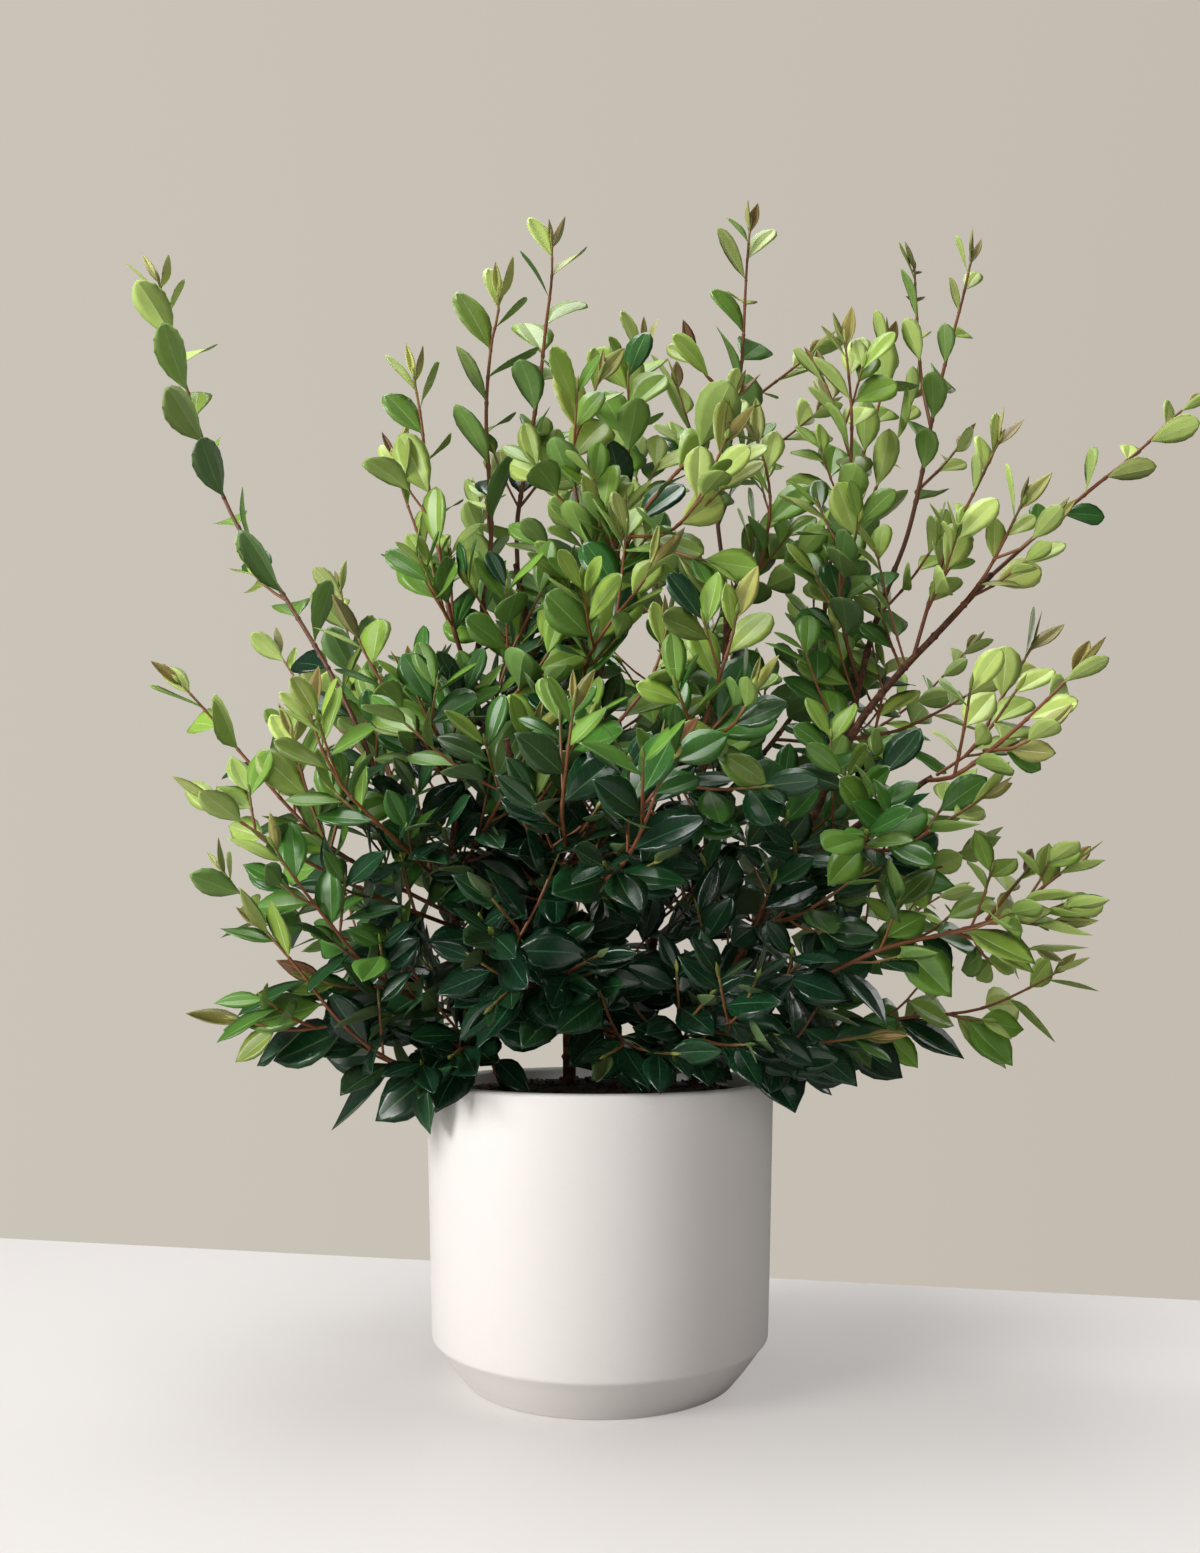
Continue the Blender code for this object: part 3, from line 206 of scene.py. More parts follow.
# Each leafy stem is (name, trunk that carries it, diameter at its foot, routes).
# Its first route is the stem itself, and the others are side stems grown together with it.
STEMS = (
    ("far_left", "trunk_left", 4.4, (
        ((-120, -5, 400), (-165, -5, 445), (-185, -4, 495), (-215, 0, 560), (-255, 5, 627),
         (-305, 9, 705), (-338, 5, 800), (-360, 0, 888)),)),
    ("left_high", "trunk_left", 3.6, (
        ((-120, -5, 370), (-175, -15, 400), (-225, -25, 433), (-277, -30, 490), (-310, -35, 530),
         (-330, -38, 552)),)),
    ("left_mid", "trunk_left", 3.4, (
        ((-119, -5, 360), (-170, -60, 382), (-225, -85, 410), (-265, -95, 435), (-285, -100, 450)),
        ((-195, -72, 395), (-210, -72, 430), (-221, -75, 462), (-230, -80, 500)))),
    ("left_rear", "trunk_left", 3.2, (
        ((-114, -5, 345), (-195, 40, 350), (-275, 60, 370), (-315, 68, 395), (-331, 70, 415)),)),
    ("left_front", "trunk_left", 3.6, (
        ((-98, 0, 285), (-135, -50, 300), (-168, -95, 325), (-195, -115, 360), (-220, -125, 395),
         (-230, -130, 412)),
        ((-155, -77, 314), (-182, -97, 312), (-203, -108, 318)))),
    ("left_low", "trunk_left", 3.4, (
        ((-88, 4, 258), (-130, -60, 248), (-160, -92, 262), (-190, -108, 290), (-216, -114, 325),
         (-240, -120, 355)),
        ((-185, -106, 284), (-225, -112, 282), (-260, -112, 290)))),
    ("left_inner", "trunk_left", 3.0, (
        ((-113, 5, 490), (-125, -30, 505), (-136, -50, 527), (-145, -58, 548)),)),
    ("left_top", "trunk_left", 3.8, (
        ((-106, 10, 560), (-120, -15, 610), (-130, -20, 670), (-137, -24, 715), (-142, -25, 762),
         (-148, -25, 798)),
        ((-113, -6, 585), (-138, 20, 645), (-152, 33, 690), (-168, 39, 735), (-176, 41, 765)))),
    ("left_bright", "trunk_left", 3.4, (
        ((-120, -5, 388), (-135, -50, 405), (-165, -88, 435), (-186, -104, 457), (-201, -109, 485),
         (-210, -110, 512)),)),
    ("left_crest", "trunk_left", 3.2, (
        ((-116, 4, 465), (-135, -45, 500), (-160, -60, 535), (-178, -64, 565), (-185, -66, 582)),)),
    ("crown_left", "trunk_left", 4.0, (
        ((-96, 14, 632), (-90, 14, 690), (-94, 11, 780), (-90, 10, 840), (-84, 10, 868), (-84, 10, 884)),)),
    ("crown_main", "trunk_main", 4.0, (
        ((-69, 20, 657), (-69, 20, 700), (-62, 20, 745), (-50, 16, 815), (-45, 15, 860), (-40, 15, 900),
         (-40, 15, 930)),)),
    ("crown_mid", "trunk_main", 3.2, (
        ((5, 1, 595), (-5, -25, 655), (-18, -35, 695), (-21, -40, 735), (-9, -40, 765), (0, -42, 790)),)),
    ("crown_centre", "trunk_main", 3.6, (
        ((14, 9, 658), (17, 11, 700), (24, 14, 760), (32, 15, 810), (36, 15, 845)),)),
    ("crown_tall", "trunk_back", 3.9, (
        ((111, 96, 687), (105, 91, 750), (120, 90, 815), (127, 90, 875), (130, 90, 935), (132, 90, 968),
         (134, 90, 990)),
        ((105, 91, 745), (86, 75, 785), (73, 70, 820), (67, 68, 840)),
        ((124, 90, 832), (106, 80, 842), (92, 75, 853), (80, 71, 870)),
        ((123, 90, 826), (150, 100, 852), (180, 105, 877), (194, 109, 890)),
        ((106, 93, 728), (132, 118, 790), (170, 130, 820), (205, 135, 850)))),
    ("crown_fork", "trunk_main", 3.4, (
        ((11, 5, 625), (25, -52, 665), (50, -74, 692), (72, -82, 712), (90, -85, 733), (101, -86, 752)),
        ((24, -48, 662), (48, -90, 648), (66, -108, 658), (80, -117, 682), (90, -120, 705)))),
    ("crown_right", "trunk_back", 3.2, (
        ((113, 98, 625), (138, 62, 675), (145, 42, 720), (140, 31, 750), (131, 25, 772)),)),
    ("right_mast", "trunk_right", 3.6, (
        ((219, 30, 565), (198, 2, 615), (195, -14, 670), (200, -20, 725), (201, -20, 775),
         (196, -20, 828)),
        ((200, -20, 738), (190, -10, 780), (179, -5, 812)))),
    ("right_pair", "trunk_right", 3.8, (
        ((194, 1, 490), (200, 58, 570), (198, 74, 655), (214, 70, 730), (229, 66, 775), (243, 62, 820),
         (250, 60, 870)),
        ((199, 74, 668), (234, 89, 730), (256, 95, 780), (273, 95, 820), (283, 95, 845)))),
    ("right_top", "trunk_right", 4.0, (
        ((254, 55, 668), (264, 50, 700), (274, 45, 745), (284, 42, 800), (296, 40, 852), (308, 40, 896),
         (316, 40, 932)),
        ((283, 42, 790), (279, 60, 840), (278, 70, 895), (277, 75, 945)),
        ((273, 46, 738), (303, 73, 772), (320, 84, 795)))),
    ("right_tip", "trunk_right", 3.4, (
        ((258, 11, 584), (272, -5, 640), (286, -9, 680), (305, -12, 718), (321, -14, 752)),)),
    ("far_right", "trunk_right", 3.8, (
        ((322, 15, 651), (365, 15, 690), (407, 12, 725), (446, 8, 756), (468, 5, 778), (486, 3, 792)),)),
    ("right_spur", "trunk_right", 3.2, (
        ((293, 15, 620), (305, -22, 638), (316, -33, 660), (331, -38, 692)),
        ((312, -29, 652), (329, -46, 655), (342, -55, 667)))),
    ("right_mid", "trunk_right", 3.4, (
        ((236, -109, 463), (250, -132, 462), (277, -149, 483), (306, -156, 510), (325, -158, 530)),
        ((241, -117, 461), (269, -112, 485), (285, -108, 512), (302, -105, 540), (315, -104, 562)),
        ((266, -143, 474), (283, -162, 476), (297, -171, 487)))),
    ("right_fan", "trunk_right", 3.2, (
        ((207, 5, 515), (253, 34, 530), (293, 45, 550), (323, 50, 568)),)),
    ("right_reach", "trunk_right", 3.2, (
        ((180, -65, 424), (210, -107, 412), (231, -119, 422), (256, -125, 437), (273, -128, 449)),)),
    ("right_rear", "trunk_right", 3.2, (
        ((153, -5, 410), (210, 30, 400), (261, 45, 405), (291, 50, 419), (321, 52, 434)),)),
    ("right_long", "trunk_right", 4.0, (
        ((94, -5, 300), (130, -68, 310), (162, -98, 321), (205, -114, 341), (254, -120, 353),
         (286, -122, 364), (323, -122, 390), (337, -122, 402)),
        ((276, -121, 360), (297, -106, 382), (314, -98, 400)),
        ((283, -122, 363), (304, -137, 357), (317, -142, 358)),
        ((250, -119, 352), (292, -105, 342), (323, -100, 341)))),
    ("right_low", "trunk_right", 3.6, (
        ((86, 0, 270), (158, 20, 266), (245, 30, 285), (315, 30, 293), (359, 28, 311), (384, 26, 326)),)),
    ("right_hang", "trunk_right", 3.2, (
        ((80, 2, 250), (122, -60, 262), (162, -94, 272), (195, -110, 277)),)),
    ("right_inner", "trunk_right", 3.2, (
        ((126, -10, 360), (152, -60, 368), (176, -84, 384), (191, -95, 396)),)),
    ("front_left", "trunk_left", 3.2, (
        ((-120, -5, 400), (-93, -60, 425), (-69, -100, 456), (-56, -115, 473), (-47, -122, 495)),)),
    ("front_cross", "trunk_left", 3.4, (
        ((-112, 5, 508), (-87, -43, 520), (-61, -70, 538), (-42, -80, 557), (-34, -84, 572)),
        ((-89, -40, 519), (-71, -46, 568), (-53, -50, 604), (-41, -52, 626)))),
    ("front_mid", "trunk_main", 3.2, (
        ((-43, -65, 400), (-25, -118, 409), (-26, -158, 431), (-22, -184, 461), (-17, -200, 495)),)),
    ("front_centre", "trunk_main", 3.4, (
        ((-37, 12, 450), (-8, -98, 475), (13, -128, 500), (33, -140, 523), (42, -145, 544),
         (46, -147, 560)),)),
    ("front_right", "trunk_main", 3.4, (
        ((62, -121, 478), (72, -150, 495), (81, -165, 524), (88, -172, 546), (91, -175, 563)),
        ((68, -138, 488), (81, -180, 482), (91, -200, 489), (97, -208, 504)))),
    ("front_bow", "trunk_main", 3.4, (
        ((-31, 1, 385), (-2, -98, 388), (16, -168, 397), (28, -203, 417), (37, -215, 441),
         (40, -218, 456)),)),
    ("front_rise", "trunk_main", 3.2, (
        ((-6, 1, 550), (-12, -58, 557), (5, -90, 579), (29, -104, 604), (37, -108, 620)),)),
    ("front_thin", "trunk_main", 3.0, (
        ((-1, 0, 572), (2, -30, 609), (11, -45, 640), (20, -50, 670)),)),
    ("front_nook", "trunk_left", 3.0, (
        ((-114, -5, 345), (-76, -80, 330), (-57, -130, 350), (-67, -150, 365), (-76, -158, 377)),)),
    ("low_mid", "trunk_main", 3.4, (
        ((-26, -5, 315), (-35, -70, 315), (-19, -120, 326), (-1, -150, 335)),
        ((-34, -65, 315), (-48, -110, 314), (-62, -145, 311), (-73, -165, 300)))),
    ("low_front", "trunk_main", 3.0, (
        ((-25, -5, 280), (7, -60, 280), (17, -105, 272), (4, -135, 265)),)),
    ("low_right", "trunk_right", 3.2, (
        ((79, 4, 250), (55, -60, 269), (65, -105, 289), (79, -125, 308)),
        ((57, -70, 272), (90, -125, 286), (101, -150, 304), (107, -158, 320)))),
    ("low_left", "trunk_left", 3.0, (
        ((-86, 5, 255), (-93, -60, 266), (-100, -100, 268), (-105, -130, 264)),)),
    ("back_crown", "trunk_back", 3.6, (
        ((60, 185, 640), (50, 230, 745), (40, 260, 830), (30, 275, 885)),
        ((56, 200, 672), (10, 235, 735), (-25, 255, 805), (-45, 260, 860)))),
    ("back_left_top", "trunk_back", 3.4, (
        ((-25, 165, 500), (-60, 230, 585), (-95, 270, 675), (-120, 290, 765), (-130, 300, 835)),)),
    ("back_left", "trunk_back", 3.4, (
        ((0, 142, 460), (-80, 210, 500), (-165, 250, 545), (-230, 270, 600)),)),
    ("back_right_top", "trunk_back", 3.4, (
        ((190, 165, 580), (230, 220, 660), (255, 250, 740), (270, 265, 820)),)),
    ("back_right", "trunk_back", 3.4, (
        ((165, 152, 548), (250, 220, 560), (330, 260, 610), (390, 280, 670)),)),
    ("back_low_right", "trunk_back", 3.4, (
        ((47, 66, 355), (95, 150, 395), (160, 220, 430), (240, 270, 475)),)),
    ("back_low_left", "trunk_back", 3.4, (
        ((45, 62, 320), (0, 150, 355), (-60, 220, 400), (-125, 270, 445)),)),
    ("back_wing", "trunk_left", 3.4, (
        ((-185, 102, 490), (-235, 150, 545), (-280, 175, 590), (-315, 190, 640)),
        ((-200, 118, 512), (-230, 165, 585), (-245, 185, 650), (-255, 195, 705)))),
    ("back_low", "trunk_right", 3.4, (
        ((100, -6, 312), (180, 90, 335), (265, 150, 365), (340, 190, 405)),)),
    ("back_foot", "trunk_left", 3.2, (
        ((-88, 4, 260), (-135, 90, 275), (-190, 150, 300), (-245, 180, 350)),)),
)

Axis = namedtuple("Axis", "node label path spine start end rank")
Leaf = namedtuple("Leaf", "node root heading face length width bend")


def clamp(value):
    """Keep a value from 0 to 1."""
    return min(1.0, max(0.0, value))


def share_of(value, start, span):
    """How far a value lies along a span, from 0 to 1."""
    return clamp((value - start) / span)


def smooth_path(points, step):
    """Read a smooth curve through the points at an even step."""
    points = [Vector(p) for p in points]
    ends = [points[0] * 2 - points[1]] + points + [points[-1] * 2 - points[-2]]
    dense = [points[0]]
    for a, b, c, d in zip(ends, ends[1:], ends[2:], ends[3:]):
        for i in range(1, CURVE_PARTS + 1):
            t = i / CURVE_PARTS
            dense.append(0.5 * (2 * b + (c - a) * t + (2 * a - 5 * b + 4 * c - d) * t ** 2
                                + (3 * b - a - 3 * c + d) * t ** 3))
    length = path_length(dense)
    count = max(2, round(length / step))
    return [dense[0]] + [point_at(dense, length * i / count)[0] for i in range(1, count)] + [dense[-1]]


def path_length(path):
    return sum((b - a).length for a, b in zip(path, path[1:]))


def point_at(path, distance):
    """Return the point and the direction at a distance along a path."""
    for a, b in zip(path, path[1:]):
        span = (b - a).length
        if distance <= span:
            return a.lerp(b, distance / span), (b - a).normalized()
        distance -= span
    return path[-1].copy(), (path[-1] - path[-2]).normalized()


def nearest_on(path, point):
    """Return the nearest point of a path."""
    spots = []
    for a, b in zip(path, path[1:]):
        span = b - a
        spots.append(a + span * clamp((point - a).dot(span) / span.length_squared))
    return min(spots, key=lambda spot: (spot - point).length)


def closed_body(rings):
    """Join rings of points, from one end to the other, into a closed body."""
    sides = len(rings[0])
    verts = [point for ring in rings for point in ring]
    last = len(verts) - sides
    faces = [tuple(reversed(range(sides))), tuple(range(last, len(verts)))]
    for a in range(0, last, sides):
        for k in range(sides):
            after = (k + 1) % sides
            faces.append((a + k, a + after, a + sides + after, a + sides + k))
    return verts, faces


def tube(path, start, end, sides):
    """Make a closed tube along a path, tapering from one radius to the other."""
    rings = []
    side = (path[1] - path[0]).normalized().orthogonal().normalized()
    last = len(path) - 1
    turns = [math.tau * k / sides for k in range(sides)]
    for i, point in enumerate(path):
        along = (path[min(i + 1, last)] - path[max(i - 1, 0)]).normalized()
        side = (side - along * side.dot(along)).normalized()
        other = along.cross(side)
        radius = start + (end - start) * i / last
        rings.append([point + (side * math.cos(turn) + other * math.sin(turn)) * radius for turn in turns])
    return closed_body(rings)


def on_leaf(leaf, u, across, lift=0.0):
    """Place a point of a leaf: u along the midrib, across it in metres, lifted off its upper side."""
    bend = leaf.bend
    side = leaf.face.cross(leaf.heading)
    along = leaf.heading * (math.sin(bend * u) / bend)
    down = leaf.face * ((1 - math.cos(bend * u)) / bend)
    normal = leaf.face * math.cos(bend * u) + leaf.heading * math.sin(bend * u)
    return leaf.root + (along - down) * leaf.length + side * across + normal * lift


def blade(leaf, extra=0.0):
    """Make a leaf as a closed arched blade with a keel under its midrib."""
    left = [(u, share * leaf.width + extra) for u, share in BLADE_STATIONS]
    rim = [(0.0, 0.0)] + [(u, -w) for u, w in left] + [(1.0, 0.0)] + left[::-1]
    verts = [on_leaf(leaf, u, across, extra) for u, across in rim]
    verts.append(on_leaf(leaf, BLADE_KEEL, 0.0, -BLADE_THICKNESS - extra))
    count = len(rim)
    half = count // 2
    faces = [((i + 1) % count, i, count) for i in range(count)]
    faces.append((0, 1, count - 1))
    for i in range(1, half - 1):
        faces.append((i, i + 1, count - i))
        faces.append((i + 1, count - i - 1, count - i))
    faces.append((half - 1, half, half + 1))
    return verts, faces


class Room:
    """Keeps what is already placed, small things by cell, and tells whether something new would cross it."""

    def __init__(self):
        self.large = []
        self.cells = {}

    @staticmethod
    def describe(verts, faces):
        centre = sum(verts, Vector()) / len(verts)
        reach = max((v - centre).length for v in verts)
        return centre, reach, BVHTree.FromPolygons(verts, faces)

    @staticmethod
    def keys(centre, reach):
        spans = [range(math.floor((c - reach) / CELL), math.floor((c + reach) / CELL) + 1) for c in centre]
        return [(x, y, z) for x in spans[0] for y in spans[1] for z in spans[2]]

    def add(self, node, kind, verts, faces):
        item = (node, kind) + self.describe(verts, faces)
        if item[3] > CELL:
            self.large.append(item)
            return
        for key in self.keys(item[2], item[3]):
            self.cells.setdefault(key, []).append(item)

    def crosses(self, node, verts, faces, own_kinds):
        """Compare with every other node, and with the node's own items of the given kinds."""
        centre, reach, tree = self.describe(verts, faces)
        for group in [self.large] + [self.cells.get(key, ()) for key in self.keys(centre, reach)]:
            for other, kind, spot, size, there in group:
                if other == node and kind not in own_kinds:
                    continue
                if (spot - centre).length < reach + size and tree.overlap(there):
                    return True
        return False


def off_centre(point, crown):
    """Tell how far a point lies from the middle of a crown, where 1 is its edge."""
    return math.sqrt(sum(((a - b) / c) ** 2 for a, b, c in zip(point, *crown)))


def around_stem(along, turn):
    """Return the direction that leaves a stem at a turn about it."""
    reference = UP if abs(along.z) < UPRIGHT else Vector((0, 1, 0))
    side = along.cross(reference).normalized()
    return side * math.cos(turn) + side.cross(along) * math.sin(turn)


def wood_axes():
    """Trunks and limbs, smooth, each starting on the stem that bears it."""
    axes = []
    for trunk, routes in TRUNKS:
        main = None
        for number, (start, end, route) in enumerate(routes):
            points = [Vector(p) * MM for p in route]
            if main:
                points[0] = nearest_on(main, points[0])
            path = smooth_path(points, WOOD_STEP)
            main = main or path
            axes.append(Axis(trunk, "%s_%d" % (trunk, number), path, path, start * MM / 2, end * MM / 2, 0))
    return axes


def stem_axes(wood):
    """Leafy stems and their side stems, each starting on the axis that bears it."""
    axes = []
    for name, trunk, diameter, routes in STEMS:
        bearers = [axis.path for axis in wood if axis.node == trunk]
        start = diameter * MM / 2
        for number, route in enumerate(routes):
            points = [Vector(p) * MM for p in route]
            feet = [nearest_on(bearer, points[0]) for bearer in bearers]
            points[0] = min(feet, key=lambda foot: (foot - points[0]).length)
            spine = smooth_path(points, SPINE_STEP)
            path = smooth_path(points, FINE_STEP)
            axes.append(Axis(name, "%s_%d" % (name, number), path, spine, start, TIP_RADIUS, 1))
            if number == 0:
                bearers = [spine]
                start *= SIDE_STEM_SHARE
    return axes


def twig_axes(bearers, room, plan):
    """Short side twigs in the dense part of the crown, turned aside or left out where they would cross."""
    twigs = []
    for axis in bearers:
        rng = random.Random("%s twigs %d" % (axis.label, plan.rank))
        length = path_length(axis.path)
        distance = max(TWIG_START[0] * length, TWIG_START[1])
        turn = rng.uniform(0, math.tau)
        number = 0
        while distance < length - TWIG_END:
            point, along = point_at(axis.path, distance)
            distance += plan.spacing * rng.uniform(*TWIG_UNEVENNESS)
            turn += GOLDEN_TURN
            reach = rng.uniform(*plan.reach)
            number += 1
            if point.z < plan.lowest or off_centre(point, plan.crown) >= 1:
                continue
            for aside in TWIG_TURNS:
                out = around_stem(along, turn + math.radians(aside))
                heading = (along * plan.lean[0] + out * plan.lean[1] + UP * plan.lean[2]).normalized()
                tip = point + (heading + UP * TWIG_RISE).normalized() * reach
                spine = [nearest_on(axis.spine, point), tip]
                if room.crosses(axis.node, *tube(spine, plan.room, plan.room, TWIG_SIDES), ()):
                    continue
                path = smooth_path([point, point + heading * reach * 0.5, tip], TWIG_STEP)
                label = "%s_twig%d_%d" % (axis.label, plan.rank, number)
                twigs.append(Axis(axis.node, label, path, spine, plan.radius, TIP_RADIUS, plan.rank))
                room.add(axis.node, "stem", *tube(spine, plan.radius, plan.radius, TWIG_SIDES))
                break
    return twigs


def leaf_spots(axis):
    """Distances from a stem's tip at which it bears a leaf, with the leaf's age from 0 to 1."""
    length = path_length(axis.path) / MM
    bare = max(BARE_FOOT[0], BARE_FOOT[1] * length) if axis.rank == 1 else BARE_TWIG_FOOT
    older = TWIG_TIP_AGE if axis.rank > 1 else 0
    rng = random.Random(axis.label + " spots")
    spots = []
    distance = 0.0
    number = 0
    while True:
        if number < len(TIP_OFFSETS):
            distance = TIP_OFFSETS[number]
        else:
            distance += NODE_SPACING * rng.uniform(*NODE_UNEVENNESS)
        if distance > length - bare:
            break
        spots.append((number, distance * MM, min(1.0, (number + older) / FULL_AGE)))
        number += 1
    return spots


def leaf_on(axis, number, distance, age, aside):
    """Set one leaf on a stem, facing out of the plant. Young leaves stand up, and old low ones hang."""
    rng = random.Random("%s leaf %d" % (axis.label, number))
    root, along = point_at(axis.path, path_length(axis.path) - distance)
    first = random.Random(axis.label + " turn").uniform(-FIRST_TURN, FIRST_TURN)
    step = LEAF_TURN - UPRIGHT_TURN_LESS * abs(along.z)
    turn = first + number * step + math.radians(aside) + rng.uniform(-TURN_UNEVENNESS, TURN_UNEVENNESS)
    out = around_stem(along, turn)
    more = MORE_SPREAD_LOW + (MORE_SPREAD_HIGH - MORE_SPREAD_LOW) * share_of(root.z, *SPREAD_OVER)
    spread = SPEAR_SPREAD + more * age ** SPREAD_CURVE + rng.uniform(-SPREAD_UNEVENNESS, SPREAD_UNEVENNESS)
    outward = Vector((root.x, root.y, 0)).normalized()
    low = age * share_of(HANG_BELOW, root.z, HANG_FADE)
    heading = along * math.cos(spread) + out * math.sin(spread)
    heading = heading + outward * HANG_OUTWARD * low - UP * rng.uniform(*HANG_DOWN) * low
    heading.normalize()
    open_side = Vector((root.x * FACE_SIDEWAYS, root.y - FACE_MIDDLE, 0)).normalized()
    face = UP * FACE_UPWARD + open_side * rng.uniform(*FACE_OUTWARD) - out * FACE_INWARD
    face = (face - heading * face.dot(heading)).normalized()
    face = Matrix.Rotation(rng.uniform(-FACE_ROLL, FACE_ROLL), 3, heading) @ face
    length = SPEAR_LENGTH + (MATURE_LENGTH - SPEAR_LENGTH) * age ** LENGTH_CURVE
    ratio = SPEAR_RATIO + (MATURE_RATIO - SPEAR_RATIO) * age ** RATIO_CURVE
    length = length * rng.uniform(*LENGTH_UNEVENNESS) * (1 - (1 - LOW_LEAF_SHARE) * low)
    if axis.rank > 1:
        length *= TWIG_LEAF_SHARE
    width = length * ratio * rng.uniform(*WIDTH_UNEVENNESS)
    bend = (SPEAR_BEND + MORE_BEND * age) * rng.uniform(*BEND_UNEVENNESS)
    sunk = nearest_on(axis.spine, root) - heading * axis.end * SUNK_SHARE
    return Leaf(axis.node, sunk, heading, face, length, width, bend)


def place_leaf(axis, spot, room):
    """Set a leaf clear of everything that is already placed, or give it up."""
    for aside in LEAF_TURNS:
        leaf = leaf_on(axis, *spot, aside)
        shape = blade(leaf)
        if min(vert.z for vert in shape[0]) < LOWEST_LEAF:
            continue
        if not any(room.crosses(axis.node, *item, ("leaf",)) for item in (shape, blade(leaf, CLEAR))):
            room.add(axis.node, "leaf", *shape)
            return leaf
    return None


def in_source(axis, number):
    """Choose the leaves that the solids keep: tips first, then evenly along the stem."""
    if axis.rank == 1:
        return number in (0, 2) or number > 2 and (number - 2) % SOURCE_EVERY == 0
    return number in (1, 3)


def lathe(profile):
    """Turn a profile of radius and height into a closed body."""
    turns = [math.tau * k / ROUND_SIDES for k in range(ROUND_SIDES)]
    return closed_body([[Vector((radius * math.cos(turn), radius * math.sin(turn), height)) for turn in turns]
                        for radius, height in profile])


def arc(centre, radius, start, end, steps):
    """Points of radius and height along a rounded corner, from one angle to another in degrees."""
    turns = [math.radians(start + (end - start) * step / steps) for step in range(steps + 1)]
    return [(centre[0] + radius * math.cos(turn), centre[1] + radius * math.sin(turn)) for turn in turns]


def rim_to_floor(steps):
    """Profile of the planter from its outer rim, over the rounded edge and down its inside."""
    height = RIM_HEIGHT - RIM_ROUNDING
    outer = arc((RIM_RADIUS - RIM_ROUNDING, height), RIM_ROUNDING, 0, 90, steps)
    inner = arc((RIM_RADIUS - WALL + RIM_ROUNDING, height), RIM_ROUNDING, 90, 180, steps)
    corner = (SHOULDER_RADIUS - WALL, SHOULDER_HEIGHT + 2 * MM)
    return outer + inner + [corner, (FOOT_RADIUS - WALL + 2 * MM, FLOOR)]


def planter_profile():
    return [(FOOT_RADIUS, 0), (SHOULDER_RADIUS, SHOULDER_HEIGHT)] + rim_to_floor(2)


def soil_profile():
    wall_foot = SHOULDER_RADIUS - WALL
    rise = (SOIL_EDGE - SHOULDER_HEIGHT) / (RIM_HEIGHT - RIM_ROUNDING - SHOULDER_HEIGHT)
    edge = wall_foot + (RIM_RADIUS - WALL - wall_foot) * rise - SOIL_GAP
    profile = [(FOOT_RADIUS - WALL + 2 * MM - 2 * SOIL_GAP, FLOOR + SEAT_GAP),
               (wall_foot - 2 * SOIL_GAP, SHOULDER_HEIGHT + 2 * MM + SEAT_GAP)]
    return profile + [(edge * out, SOIL_EDGE + (SOIL_CROWN - SOIL_EDGE) * up) for out, up in SOIL_SLOPE]


# Growth of the fine model: what the solids leave out

MORE_STEM_TWIGS = TwigPlan(3, FULL_CROWN, 26 * MM, (30 * MM, 62 * MM), 0.0,
                           (0.66, 0.66, 0.30), 1.0 * MM, 0.9 * MM)
MORE_TRUNK_TWIGS = TwigPlan(3, FULL_CROWN, 14 * MM, (45 * MM, 105 * MM), 275 * MM,
                            (0.34, 0.80, 0.36), 1.0 * MM, 0.9 * MM)
MIDRIB_SHARES = (0.2, 0.6, 1.0)
MIDDLE_WIDTH = 0.25
BOX_MARGIN = 5 * MM
FEWEST_LEAVES = 2
# Twigs are thinned out by height, evenly and more towards the edge of the crown
THIN_OVER = (0.34, 0.16)
THIN_EVEN = 0.17
THIN_EDGE = 0.85
# Old leaves are larger near the pot and smaller up the right flank
LARGER_BELOW = 0.40
LARGER_FADE = 0.12
LARGER_SHARE = 0.30
FLANK_OVER = (0.22, 0.08)
SMALLER_SHARE = 0.30
# Leaves on the right turn to the window, which is on the left in front
WINDOW_SIDE = Vector((-0.35, -0.90, 0.25))
TURNED_OVER = (0.05, 0.15)
TURNED_SHARE = 0.9

# Open places of the crown as seen from the front: (across, up, radius) in millimetres at the planter's middle
FRONT_EYE = Vector((0, -953.5 * MM, 316 * MM))
OPENINGS = (
    # Between the mast and the right-hand shoots, and among the tips left of the mast
    (150, 900, 30), (150, 850, 20), (-20, 860, 25), (-70, 800, 20), (-110, 840, 20),
    # Down the left side
    (-120, 745, 20), (-185, 700, 25), (-185, 640, 20), (-270, 590, 25), (-330, 590, 20), (-310, 790, 20),
    # Down the right side
    (330, 720, 20), (300, 590, 20), (325, 550, 20), (340, 585, 25), (375, 530, 20), (360, 460, 20),
    (310, 320, 15),
    # In the middle
    (30, 590, 15), (20, 530, 12),
)


def seen_from_front(place):
    """Carry a place along its line of sight to the upright plane through the planter's middle."""
    share = -FRONT_EYE.y / (place.y - FRONT_EYE.y)
    return (FRONT_EYE + (place - FRONT_EYE) * share).xz


def closes_opening(places, half_width):
    """Tell whether something along a line of places would close an open place of the crown."""
    line = [seen_from_front(place) for place in places]
    for across, up, radius in OPENINGS:
        centre = Vector((across, up)) * MM
        if (nearest_on(line, centre) - centre).length < radius * MM + half_width:
            return True
    return False


